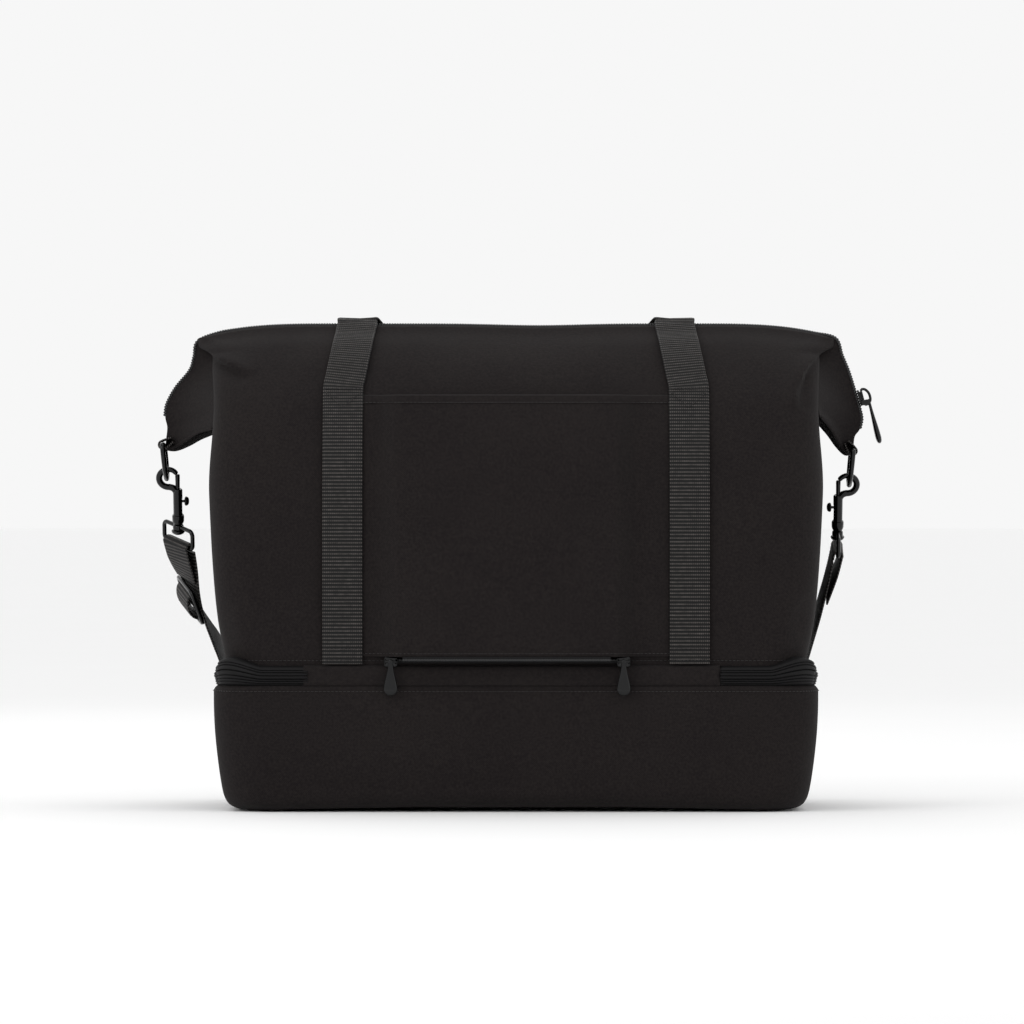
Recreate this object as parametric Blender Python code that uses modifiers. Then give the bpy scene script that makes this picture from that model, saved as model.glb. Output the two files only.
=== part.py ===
"""Weekender bag with a zipped base compartment, built as its separate pieces.

Metres, +Z up. +X runs along the bag and -Y is the side with the trolley sleeve. The origin is the middle of
the flat underside. Cloth is 1.2 to 2.4 mm thick, the carry webbing is 32 mm wide and the hardware suits it.
"""

import math

import bmesh
import bpy
from mathutils import Matrix, Vector

# Shells: height, half length and half depth of each section of the cloth
BASE_LEVELS = (
    (0.0000, 0.2220, 0.0950), (0.0070, 0.2300, 0.1030), (0.0250, 0.2350, 0.1060),
    (0.0600, 0.2395, 0.1075), (0.0920, 0.2405, 0.1075), (0.1010, 0.2385, 0.1065),
)
UPPER_LEVELS = (
    (0.1165, 0.2310, 0.1030), (0.1500, 0.2370, 0.1048), (0.2000, 0.2415, 0.1060),
    (0.2550, 0.2440, 0.1040), (0.2950, 0.2455, 0.0970), (0.3250, 0.2475, 0.0840),
    (0.3500, 0.2505, 0.0620), (0.3680, 0.2535, 0.0380), (0.3790, 0.2555, 0.0170),
    (0.3840, 0.2560, 0.0080),
)
CORNER_RADIUS = 0.038
CORNER_STEPS = 5
CANVAS = 0.0024
LINING = 0.0012
GAP = 0.0004

# Zip band between the two compartments, and the cloth strip at its back that is the hinge
FRONT_PIVOT = (0.0, 0.0800, 0.3405)  # where the front handle bends over its stitching

BAND_HALF_LENGTH = 0.2375
BAND_HALF_DEPTH = 0.1057
BAND_RADIUS = 0.036
BAND_LOW = 0.1014
BAND_SPLIT = 0.1076
BAND_HIGH = 0.1142
SWING_GAP = 0.0020  # the upper tape stops short of the zip ends, so that it can turn past them
HINGE_STRIP_LEFT = -0.165
HINGE_STRIP_RIGHT = 0.160
LID_AXIS = Vector((0.0, -0.1040, 0.1080))

# Carry webbing
WEBBING_WIDTH = 0.032
WEBBING = 0.0018
STRAP_X = 0.137
CREST_X = 0.127
SEWN_TOP = 0.334
CREST_Z = 0.3897
REAR_HANDLE_DROP = 0.115
FRONT_HANDLE_DROP = 0.165
HANDLE_STEPS = 26

# Trolley sleeve
SLEEVE_LOW = 0.1236
SLEEVE_HIGH = 0.3240
SLEEVE_HALF = 0.136
SLEEVE_OPEN_CENTRE = -0.0075
SLEEVE_OPEN_HALF = 0.0855
SLEEVE_RAMP = 0.012
SLEEVE_STAND = 0.013

# Side wings: corners of the folded cloth, as x outwards and z
WING_LEFT = (
    (0.2585, 0.3700), (0.2620, 0.3520), (0.2800, 0.3180), (0.2795, 0.2990),
    (0.2740, 0.2900), (0.2640, 0.2955), (0.2500, 0.3025), (0.2480, 0.3120),
)
WING_RIGHT = (
    (0.2585, 0.3720), (0.2640, 0.3530), (0.2745, 0.3130), (0.2715, 0.3030),
    (0.2665, 0.2965), (0.2600, 0.2945), (0.2510, 0.3040), (0.2485, 0.3140),
)
WING_THICK = 0.009

# D-rings: x outwards at the straight bar and at the bottom, height of the bar, and centre of the round part
RING_WIRE = 0.00215
RING_RADIUS = 0.0182
RING_DROP = 0.0090
RING_LEFT = (-0.2838, -0.2810, 0.2910)
RING_RIGHT = (0.2706, 0.2680, 0.2860)

# Snap hooks, in their own frame: heights below the D-ring's centre, before they lean forward
HOOK_LEAN = math.radians(20.0)
EYE_DROP = 0.0189
EYE_RADIUS = 0.0075
EYE_WIRE = 0.00215
EYE_OFFSET = 0.0073
EYE_START = -106.0
EYE_SWEEP = 246.0
BARREL_TOP = 0.0280
BARREL_BOTTOM = 0.0515
BARREL_RADIUS = 0.00375
BOLT_BORE = 0.0020
BOLT_ROD = 0.0016
BOLT_TRAVEL = 0.008
KNOB_DROP = 0.0385
COLLAR_BOTTOM = 0.0580
COLLAR_RADIUS = 0.0047
LOOP_TOP = 0.0602
LOOP_BOTTOM = 0.0755
LOOP_HALF = 0.0186
LOOP_WIRE = 0.00175
POST_RADIUS = 0.0014
LOOP_TURN_LEFT = math.radians(-50.0)
LOOP_TURN_RIGHT = math.radians(90.0)
HOOK_LEFT_X = -0.2800
HOOK_RIGHT_X = 0.2670

# Shoulder strap: points of its middle line and the direction across it, from the left hook to the right one
STRAP_ROUTE = (
    ((-0.2693, 0.0291, 0.2075), (-0.643, 0.720, 0.262)),
    ((-0.2668, 0.0352, 0.1935), (-0.600, 0.750, 0.280)),
    ((-0.2622, 0.0450, 0.1740), (-0.42, 0.82, 0.40)),
    ((-0.2555, 0.0570, 0.1550), (-0.24, 0.84, 0.48)),
    ((-0.2475, 0.0760, 0.1370), (-0.10, 0.82, 0.56)),
    ((-0.2410, 0.0970, 0.1220), (0.00, 0.78, 0.62)),
    ((-0.2370, 0.1140, 0.1050), (0.00, 0.80, 0.60)),
    ((-0.2290, 0.1250, 0.0840), (0.00, 0.86, 0.51)),
    ((-0.2140, 0.1330, 0.0560), (0.00, 0.90, 0.43)),
    ((-0.1910, 0.1410, 0.0290), (0.00, 0.93, 0.36)),
    ((-0.1580, 0.1470, 0.0110), (0.00, 0.98, 0.18)),
    ((-0.1150, 0.1500, 0.0032), (0.00, 1.00, 0.00)),
    ((-0.0550, 0.1520, 0.0030), (0.00, 1.00, 0.00)),
    ((0.0000, 0.1530, 0.0052), (0.00, 1.00, 0.00)),
    ((0.0550, 0.1520, 0.0030), (0.00, 1.00, 0.00)),
    ((0.1150, 0.1500, 0.0032), (0.00, 1.00, 0.00)),
    ((0.1570, 0.1470, 0.0110), (0.00, 0.98, 0.18)),
    ((0.1890, 0.1410, 0.0290), (0.00, 0.93, 0.36)),
    ((0.2110, 0.1330, 0.0560), (0.00, 0.90, 0.43)),
    ((0.2250, 0.1250, 0.0840), (0.00, 0.86, 0.51)),
    ((0.2325, 0.1150, 0.1050), (0.00, 0.80, 0.60)),
    ((0.2375, 0.1010, 0.1230), (0.00, 0.78, 0.62)),
    ((0.2415, 0.0820, 0.1390), (0.00, 0.80, 0.60)),
    ((0.2455, 0.0650, 0.1545), (0.00, 0.84, 0.54)),
    ((0.2492, 0.0480, 0.1705), (0.00, 0.88, 0.47)),
    ((0.2530, 0.0350, 0.1880), (0.00, 0.92, 0.40)),
    ((0.2555, 0.0276, 0.2015), (0.00, 0.94, 0.34)),
)
STRAP_STEPS = 3
FOLD_LEFT_LENGTH = 0.026
FOLD_RIGHT_LENGTH = 0.036
FOLD_RADIUS = 0.0035
FOLD_STAND = 0.0028
ADJUSTER_AT = 0.0395
ADJUSTER_HALF_WIDTH = 0.0190
ADJUSTER_HALF_HEIGHT = 0.0150
ADJUSTER_WIRE = 0.0017

# Zip sliders and their pulls
SLIDER_LENGTH = 0.0105
SLIDER_WIDTH = 0.0080
SLIDER_THICK = 0.0040
PIN_STAND = 0.0034
PIN_HALF = 0.0042
PIN_RADIUS = 0.0009
PULL_EYE = 0.0024
PULL_BORE = 0.0013
PULL_THICK = 0.0020
SLEEVE_PULL = 0.0270
BASE_PULL = 0.0290
TOP_PULL = 0.0350
SLEEVE_SLIDER_LEFT = Vector((-0.0990, -0.1090, 0.1188))
SLEEVE_SLIDER_RIGHT = Vector((0.0850, -0.1090, 0.1188))
BASE_SLIDER_Y = 0.1085
BASE_SLIDER_X = 0.0070
TOP_SLIDER = Vector((0.2756, 0.0, 0.3285))
TOP_EDGE_LEAN = math.radians(14.6)

COLOURS = {
    "canvas": ((0.0168, 0.0138, 0.0144), 0.88, 0.0),
    "lining": ((0.030, 0.028, 0.028), 0.80, 0.0),
    "webbing": ((0.0120, 0.0110, 0.0115), 0.62, 0.0),
    "zip_tape": ((0.0110, 0.0105, 0.0110), 0.70, 0.0),
    "zip_teeth": ((0.0100, 0.0100, 0.0105), 0.45, 0.0),
    "black_metal": ((0.0130, 0.0130, 0.0140), 0.28, 1.0),
    "stiffener": ((0.040, 0.040, 0.042), 0.60, 0.0),
}


# ---------------------------------------------------------------- scene and materials

def clear_scene():
    for item in list(bpy.data.objects):
        bpy.data.objects.remove(item, do_unlink=True)


def new_collection(name):
    group = bpy.data.collections.new(name)
    bpy.context.scene.collection.children.link(group)
    return group


def finish_material(name):
    """The Principled material of one finish, made the first time that it is asked for."""
    found = bpy.data.materials.get(name)
    if found:
        return found
    colour, roughness, metallic = COLOURS[name]
    made = bpy.data.materials.new(name)
    made.use_nodes = True
    shader = made.node_tree.nodes["Principled BSDF"]
    shader.inputs["Base Color"].default_value = (*colour, 1.0)
    shader.inputs["Roughness"].default_value = roughness
    shader.inputs["Metallic"].default_value = metallic
    return made


def add_object(name, data, finish, origin=(0.0, 0.0, 0.0)):
    """One named piece of the bag. The mesh is in world places and is moved so that its origin lies at origin."""
    if isinstance(data, bpy.types.Mesh):
        data.transform(Matrix.Translation(-Vector(origin)))
    data.materials.append(finish_material(finish))
    made = bpy.data.objects.new(name, data)
    made.location = origin
    BAG.objects.link(made)
    return made


# ---------------------------------------------------------------- shapes

def grid_mesh(name, rows, closed=False, capped=False):
    """An open sheet through rows of points, each row the same length; a closed row is a ring."""
    work = bmesh.new()
    grid = [[work.verts.new(point) for point in row] for row in rows]
    columns = len(rows[0])
    for low, high in zip(grid, grid[1:]):
        for i in range(columns if closed else columns - 1):
            j = (i + 1) % columns
            work.faces.new((low[i], low[j], high[j], high[i]))
    if capped:
        work.faces.new(list(reversed(grid[0])))
    mesh = bpy.data.meshes.new(name)
    work.to_mesh(mesh)
    work.free()
    return mesh


def solidify(item, thickness, offset=-1.0):
    wall = item.modifiers.new("Wall", "SOLIDIFY")
    wall.thickness = thickness
    wall.offset = offset
    wall.use_even_offset = True


def ribbon(name, centres, across, width, thickness, finish, origin=(0.0, 0.0, 0.0)):
    """Flat webbing along centres, its width along the directions in across."""
    rows = []
    for centre, side in zip(centres, across):
        half = side.normalized() * (width / 2)
        rows.append((centre - half, centre + half))
    made = add_object(name, grid_mesh(name, rows), finish, origin)
    solidify(made, thickness, 0.0)
    return made


def wire(name, points, radius, finish, closed=False, resolution=1, origin=(0.0, 0.0, 0.0)):
    """Round wire through points."""
    curve = bpy.data.curves.new(name, "CURVE")
    curve.dimensions = "3D"
    curve.bevel_depth = radius
    curve.bevel_resolution = resolution
    curve.use_fill_caps = True
    line = curve.splines.new("POLY")
    line.points.add(len(points) - 1)
    for slot, point in zip(line.points, points):
        slot.co = (*(Vector(point) - Vector(origin)), 1.0)
    line.use_cyclic_u = closed
    return add_object(name, curve, finish, origin)


def as_mesh(item):
    """The curve's evaluated shape as a mesh object in its place, with its caps welded."""
    name, place = item.name, item.matrix_world.copy()
    bpy.context.view_layer.update()
    evaluated = item.evaluated_get(bpy.context.evaluated_depsgraph_get())
    mesh = bpy.data.meshes.new_from_object(evaluated)
    work = bmesh.new()
    work.from_mesh(mesh)
    bmesh.ops.remove_doubles(work, verts=work.verts, dist=1e-5)
    work.to_mesh(mesh)
    work.free()
    bpy.data.objects.remove(item, do_unlink=True)
    made = bpy.data.objects.new(name, mesh)
    made.matrix_world = place
    BAG.objects.link(made)
    return made


def cone_mesh(radius_low, radius_high, height, sides, matrix):
    work = bmesh.new()
    bmesh.ops.create_cone(work, cap_ends=True, segments=sides, radius1=radius_low, radius2=radius_high,
                          depth=height, matrix=matrix)
    mesh = bpy.data.meshes.new("round")
    work.to_mesh(mesh)
    work.free()
    return mesh


def rod_mesh(start, end, radius, sides=12, end_radius=None):
    """A cylinder, or a cone, from start to end."""
    start, end = Vector(start), Vector(end)
    run = end - start
    turn = run.to_track_quat("Z", "Y").to_matrix().to_4x4()
    place = Matrix.Translation((start + end) / 2) @ turn
    return cone_mesh(radius, radius if end_radius is None else end_radius, run.length, sides, place)


def box_mesh(size, centre):
    work = bmesh.new()
    bmesh.ops.create_cube(work, size=1.0, matrix=Matrix.Translation(centre) @ Matrix.Diagonal((*size, 1.0)))
    mesh = bpy.data.meshes.new("block")
    work.to_mesh(mesh)
    work.free()
    return mesh


def combine(item, mesh, operation):
    """A Boolean of item with mesh, which is kept as a hidden tool in the cutters collection."""
    tool = bpy.data.objects.new(f"{item.name}_{operation.lower()}", mesh)
    tool.matrix_world = item.matrix_world
    tool.hide_render = True
    tool.display_type = "WIRE"
    CUTTERS.objects.link(tool)
    step = item.modifiers.new(operation.title(), "BOOLEAN")
    step.operation = operation
    step.object = tool
    step.solver = "EXACT"


def smooth_path(points, steps):
    """Catmull-Rom curve through points, with steps spans between each two."""
    found = []
    last = len(points) - 1
    for i in range(last):
        a, b, c, d = (Vector(points[max(0, min(last, i + k))]) for k in (-1, 0, 1, 2))
        for step in range(steps):
            t = step / steps
            found.append(
                0.5 * (2 * b + (c - a) * t + (2 * a - 5 * b + 4 * c - d) * t ** 2
                       + (3 * b - a - 3 * c + d) * t ** 3)
            )
    return found + [Vector(points[last])]


def section(half_length, half_depth, radius, height):
    """Rounded rectangle, anticlockwise from the rear end of its right side."""
    radius = min(radius, half_depth * 0.96)
    points = []
    corners = ((1, -1, -90), (1, 1, 0), (-1, 1, 90), (-1, -1, 180))
    for side_x, side_y, start in corners:
        for step in range(CORNER_STEPS + 1):
            angle = math.radians(start + 90 * step / CORNER_STEPS)
            points.append(Vector((
                side_x * (half_length - radius) + radius * math.cos(angle),
                side_y * (half_depth - radius) + radius * math.sin(angle),
                height,
            )))
    return points


def level_at(levels, height):
    """Half length and half depth of a shell at a height."""
    for (low, a, b), (high, c, d) in zip(levels, levels[1:]):
        if height <= high:
            t = max(0.0, (height - low) / (high - low))
            return a + (c - a) * t, b + (d - b) * t
    return levels[-1][1], levels[-1][2]


def offset_outline(outline, distance):
    """Points of an outline of (depth, height) pairs moved along its outward normals."""
    moved = []
    for i, (depth, height) in enumerate(outline):
        before = outline[max(0, i - 1)]
        after = outline[min(len(outline) - 1, i + 1)]
        run = Vector((after[0] - before[0], after[1] - before[1])).normalized()
        moved.append((depth + run.y * distance, height - run.x * distance))
    return moved


def face_outline(low, high, distance):
    """The front or rear face between two heights, as (half depth, height), standing off by distance."""
    inner = [(b, z) for z, _, b in UPPER_LEVELS if low + 0.004 < z < high - 0.004]
    ends = [(level_at(UPPER_LEVELS, z)[1], z) for z in (low, high)]
    return offset_outline([ends[0], *inner, ends[1]], distance)


# ---------------------------------------------------------------- shells

def build_shells():
    rings = [section(a, b, CORNER_RADIUS, z) for z, a, b in BASE_LEVELS]
    base = add_object("base_shell", grid_mesh("base_shell", rings, closed=True, capped=True), "canvas")
    solidify(base, CANVAS)
    rings = [section(a, b, CORNER_RADIUS, z) for z, a, b in UPPER_LEVELS]
    upper = add_object("main_shell", grid_mesh("main_shell", rings, closed=True), "canvas", LID_AXIS)
    solidify(upper, CANVAS)
    ring = section(0.2165, 0.0900, 0.030, 0.0032)
    board = add_object("base_stiffener", grid_mesh("base_stiffener", [ring, [p + Vector((0, 0, 2e-3)) for p in ring]],
                                                   closed=True, capped=True), "stiffener")
    close_top(board)
    ring = section(0.2285, 0.1000, 0.032, 0.1147)
    divider = add_object("divider", grid_mesh("divider", [ring, [p + Vector((0, 0, 1.4e-3)) for p in ring]],
                                              closed=True, capped=True), "lining", LID_AXIS)
    close_top(divider)


def close_top(item):
    """Fills the open upper end of a plate."""
    work = bmesh.new()
    work.from_mesh(item.data)
    bmesh.ops.holes_fill(work, edges=[edge for edge in work.edges if edge.is_boundary])
    bmesh.ops.recalc_face_normals(work, faces=work.faces)
    work.to_mesh(item.data)
    work.free()


def build_wings():
    for side, name, corners in ((-1, "left", WING_LEFT), (1, "right", WING_RIGHT)):
        rows = [[Vector((side * x, y, z)) for x, z in corners]
                for y in (-WING_THICK / 2, WING_THICK / 2)]
        wing = add_object(f"wing_{name}", grid_mesh(f"wing_{name}", rows, closed=True, capped=True), "canvas",
                          LID_AXIS)
        close_top(wing)


def build_tabs():
    """Webbing loops that hold the D-rings' straight bars at the wings' tips."""
    for side, name, ring, corner in ((-1, "left", RING_LEFT, WING_LEFT[4]), (1, "right", RING_RIGHT, WING_RIGHT[4])):
        centre = Vector((ring[0], 0.0, ring[2]))
        outer = Vector((side * corner[0], 0.0, corner[1]))
        toward = (outer - centre).normalized()
        normal = Vector((-toward.z, 0.0, toward.x))
        turn = RING_WIRE + 0.0014
        path = [centre + toward * 0.0062 + normal * turn]
        for step in range(9):
            angle = math.radians(90 + 180 * step / 8)
            path.append(centre + toward * (turn * math.cos(angle)) + normal * (turn * math.sin(angle)))
        path.append(centre + toward * 0.0062 - normal * turn)
        across = [Vector((0, 1, 0))] * len(path)
        ribbon(f"ring_tab_{name}", path, across, 0.025, 0.0014, "webbing", LID_AXIS)


# ---------------------------------------------------------------- zips

def band_piece(name, points, low, high, origin):
    rows = [[Vector((p.x, p.y, z)) for p in points] for z in (low, high)]
    made = add_object(name, grid_mesh(name, rows), "zip_tape", origin)
    solidify(made, 0.0016)
    return made


def build_base_zip():
    ring = section(BAND_HALF_LENGTH, BAND_HALF_DEPTH, BAND_RADIUS, 0.0)
    half = CORNER_STEPS // 2 + 1
    run = ring[half:len(ring) - half]
    band_piece("base_zip_lower", run, BAND_LOW, BAND_SPLIT - GAP / 2, (0.0, 0.0, 0.0))
    first, last = ((run[i] - run[j]).normalized() * SWING_GAP for i, j in ((1, 0), (-2, -1)))
    upper_run = [run[0] + first, *run[1:-1], run[-1] + last]
    band_piece("base_zip_upper", upper_run, BAND_SPLIT + GAP / 2, BAND_HIGH, LID_AXIS)
    clear = 0.0006
    right_run = ring[:half]
    left_run = ring[len(ring) - half:]
    shorten = (run[0] - right_run[-1]).normalized() * clear
    right_run = [Vector((HINGE_STRIP_RIGHT + clear, -BAND_HALF_DEPTH, 0.0)), *right_run, run[0] - shorten]
    left_run = [run[-1] + Vector((shorten.x, -shorten.y, 0.0)) * -1, *left_run,
                Vector((HINGE_STRIP_LEFT - clear, -BAND_HALF_DEPTH, 0.0))]
    left_run[0] = Vector((-right_run[-1].x, right_run[-1].y, 0.0))
    band_piece("zip_end_right", right_run, BAND_LOW, BAND_HIGH, (0.0, 0.0, 0.0))
    band_piece("zip_end_left", left_run, BAND_LOW, BAND_HIGH, (0.0, 0.0, 0.0))
    strip = [Vector((x, -BAND_HALF_DEPTH, 0.0)) for x in (HINGE_STRIP_LEFT, HINGE_STRIP_RIGHT)]
    band_piece("rear_hinge_strip", strip, BAND_LOW, BAND_HIGH, (0.0, 0.0, 0.0))


def build_top_zip():
    for side, name in ((-1, "rear"), (1, "front")):
        mesh = box_mesh((0.506, 0.0052, 0.0014), (0.0, side * 0.0048, 0.3852))
        add_object(f"top_zip_tape_{name}", mesh, "zip_tape", LID_AXIS)
    stand = 0.0024
    left = [Vector((-(x + stand), 0.0, z)) for x, z in WING_LEFT[1:4]]
    right = [Vector((x + stand, 0.0, z)) for x, z in WING_RIGHT[1:4]]
    crest = [Vector((x, 0.0, z)) for x, z in (
        (-0.2625, 0.3690), (-0.2608, 0.3815), (-0.2572, 0.3882), (-0.2450, 0.3866), (0.2450, 0.3866),
        (0.2572, 0.3882), (0.2610, 0.3825), (0.2632, 0.3700))]
    path = [*reversed(left), *crest, *right]
    wire("top_zip_chain", path, 0.0017, "zip_teeth", origin=LID_AXIS)


# ---------------------------------------------------------------- sleeve and carry straps

def build_sleeve():
    """A sheet sewn down at both sides that stands off the rear face between two ramps."""
    low_x = SLEEVE_OPEN_CENTRE - SLEEVE_OPEN_HALF
    high_x = SLEEVE_OPEN_CENTRE + SLEEVE_OPEN_HALF
    columns = (
        (-SLEEVE_HALF, 0.0), (low_x - SLEEVE_RAMP, 0.0), (low_x, 1.0), (high_x, 1.0),
        (high_x + SLEEVE_RAMP, 0.0), (SLEEVE_HALF, 0.0),
    )
    rows = []
    for x, lift in columns:
        stand = GAP + 0.0008 + lift * SLEEVE_STAND
        rows.append([Vector((x, -depth, z)) for depth, z in face_outline(SLEEVE_LOW, SLEEVE_HIGH, stand)])
    sleeve = add_object("trolley_sleeve", grid_mesh("trolley_sleeve", rows), "canvas", LID_AXIS)
    solidify(sleeve, LINING, 0.0)
    chain_y = -(level_at(UPPER_LEVELS, 0.1195)[1] + 0.0016)
    mesh = box_mesh((0.180, 0.0018, 0.0032), (SLEEVE_OPEN_CENTRE, chain_y, 0.1190))
    add_object("sleeve_zip_body_side", mesh, "zip_tape", LID_AXIS)
    hem_y = chain_y - SLEEVE_STAND - 0.0008
    mesh = box_mesh((0.164, 0.0018, 0.0028), (SLEEVE_OPEN_CENTRE, hem_y, 0.1214))
    add_object("sleeve_zip_sleeve_side", mesh, "zip_tape", LID_AXIS)


def build_anchors():
    """Webbing sewn up the front and rear faces. The rear pair runs on, loose, to the ridge."""
    for side, name in ((-1, "left"), (1, "right")):
        rear = face_outline(0.1172, SEWN_TOP, GAP + LINING + GAP + WEBBING / 2 + 0.0004)
        loose = face_outline(SEWN_TOP + 0.012, 0.3800, 0.0045)
        path = [Vector((side * STRAP_X, -depth, z)) for depth, z in rear]
        lean = len(loose)
        for i, (depth, z) in enumerate(loose):
            x = STRAP_X + (CREST_X - STRAP_X) * (i + 1) / (lean + 1)
            path.append(Vector((side * x, -depth, z)))
        path.append(Vector((side * CREST_X, -0.0045, CREST_Z)))
        across = [Vector((1, 0, 0))] * len(path)
        ribbon(f"rear_strap_{name}", path, across, WEBBING_WIDTH, WEBBING, "webbing", LID_AXIS)
        front = face_outline(0.1172, SEWN_TOP, GAP + WEBBING / 2 + 0.0004)
        path = [Vector((side * STRAP_X, depth, z)) for depth, z in front]
        across = [Vector((1, 0, 0))] * len(path)
        ribbon(f"front_strap_{name}", path, across, WEBBING_WIDTH, WEBBING, "webbing", LID_AXIS)


def walk_outline(outline, distance):
    """Point and outward normal at a distance along an outline of (depth, height) pairs."""
    for (y0, z0), (y1, z1) in zip(outline, outline[1:]):
        span = math.hypot(y1 - y0, z1 - z0)
        if distance <= span or (y1, z1) == outline[-1]:
            t = distance / span
            return (y0 + (y1 - y0) * t, z0 + (z1 - z0) * t), ((z0 - z1) / span, (y1 - y0) / span)
        distance -= span
    return outline[-1], (1.0, 0.0)


def build_handle(name, half_span, drop, outline, stand_end, stand_middle, origin):
    """A loop of webbing that lies on the front face: its two arms hang as one parabola, and the webbing turns
    edge-on to the face in the middle, as a flat strap does where it is bent round."""
    centres, across = [], []
    for step in range(HANDLE_STEPS + 1):
        u = -1 + 2 * step / HANDLE_STEPS
        u = math.copysign(abs(u) ** 0.8, u)
        (y, z), normal = walk_outline(outline, drop * (1 - u * u))
        blend = max(0.0, 1 - abs(u) / 0.92)
        blend = blend * blend * (3 - 2 * blend)
        stand = stand_end + (stand_middle - stand_end) * math.sin(blend * math.pi / 2)
        centres.append(Vector((half_span * u, y + normal[0] * stand, z + normal[1] * stand)))
        across.append((blend, normal, u))
    directions = []
    for i, (blend, normal, u) in enumerate(across):
        run = centres[min(i + 1, len(centres) - 1)] - centres[max(i - 1, 0)]
        out = Vector((0.0, *normal))
        flat = run.cross(out).normalized()
        out = (out - run * (out.dot(run) / run.length_squared)).normalized()
        turn = blend * math.pi / 2
        directions.append(flat * math.cos(turn) + out * math.sin(turn))
    ribbon(name, centres, directions, WEBBING_WIDTH, WEBBING, "webbing", origin)


def build_handles():
    slope = [(b, z) for z, _, b in reversed(UPPER_LEVELS)]
    over = [(0.0045, CREST_Z - 0.0030), *slope]
    build_handle("rear_handle", CREST_X, REAR_HANDLE_DROP, over, 0.0034, 0.0200, (0.0, 0.0, CREST_Z))
    start_y = level_at(UPPER_LEVELS, SEWN_TOP)[1]
    face = [(b, z) for b, z in slope if z < SEWN_TOP - 0.002]
    outline = [(start_y, SEWN_TOP), *face]
    build_handle("front_handle", STRAP_X, FRONT_HANDLE_DROP, outline, 0.0072, 0.0210, FRONT_PIVOT)




# ---------------------------------------------------------------- D-rings and snap hooks

def ring_points(ring):
    """Middle line of a D-ring: a straight bar, short legs and a half round."""
    bar_x, low_x, bar_z = ring
    low_z = bar_z - RING_DROP - RING_RADIUS
    flat = [(-RING_RADIUS, 0.0), (RING_RADIUS, 0.0)]
    for step in range(17):
        angle = math.radians(180 * step / 16)
        flat.append((RING_RADIUS * math.cos(angle), -RING_DROP - RING_RADIUS * math.sin(angle)))
    slope = (low_x - bar_x) / (low_z - bar_z)
    return [Vector((bar_x + slope * z, y, bar_z + z)) for y, z in flat]


def rounded_frame(half_width, half_height, bend):
    """Points round a rectangle with rounded corners, in the XY plane."""
    points = []
    for side_x, side_y, start in ((1, 1, 0), (-1, 1, 90), (-1, -1, 180), (1, -1, 270)):
        for step in range(4):
            angle = math.radians(start + 30 * step)
            points.append(Vector((side_x * (half_width - bend) + bend * math.cos(angle),
                                  side_y * (half_height - bend) + bend * math.sin(angle), 0.0)))
    return points


def hook_frame(ring, side, x):
    """Frame of a snap hook: origin at the D-ring's centre on the barrel's axis, leaning forward."""
    centre_z = ring[2] - RING_DROP
    barrel_x = x - side * EYE_OFFSET
    return Matrix.Translation((barrel_x, 0.0, centre_z)) @ Matrix.Rotation(HOOK_LEAN, 4, "X")


def place_in(item, frame):
    """Moves a piece, and the tools of its Booleans, from its own frame to its place on the bag."""
    item.matrix_world = frame @ item.matrix_world
    for step in item.modifiers:
        if step.type == "BOOLEAN":
            step.object.matrix_world = item.matrix_world


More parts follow.
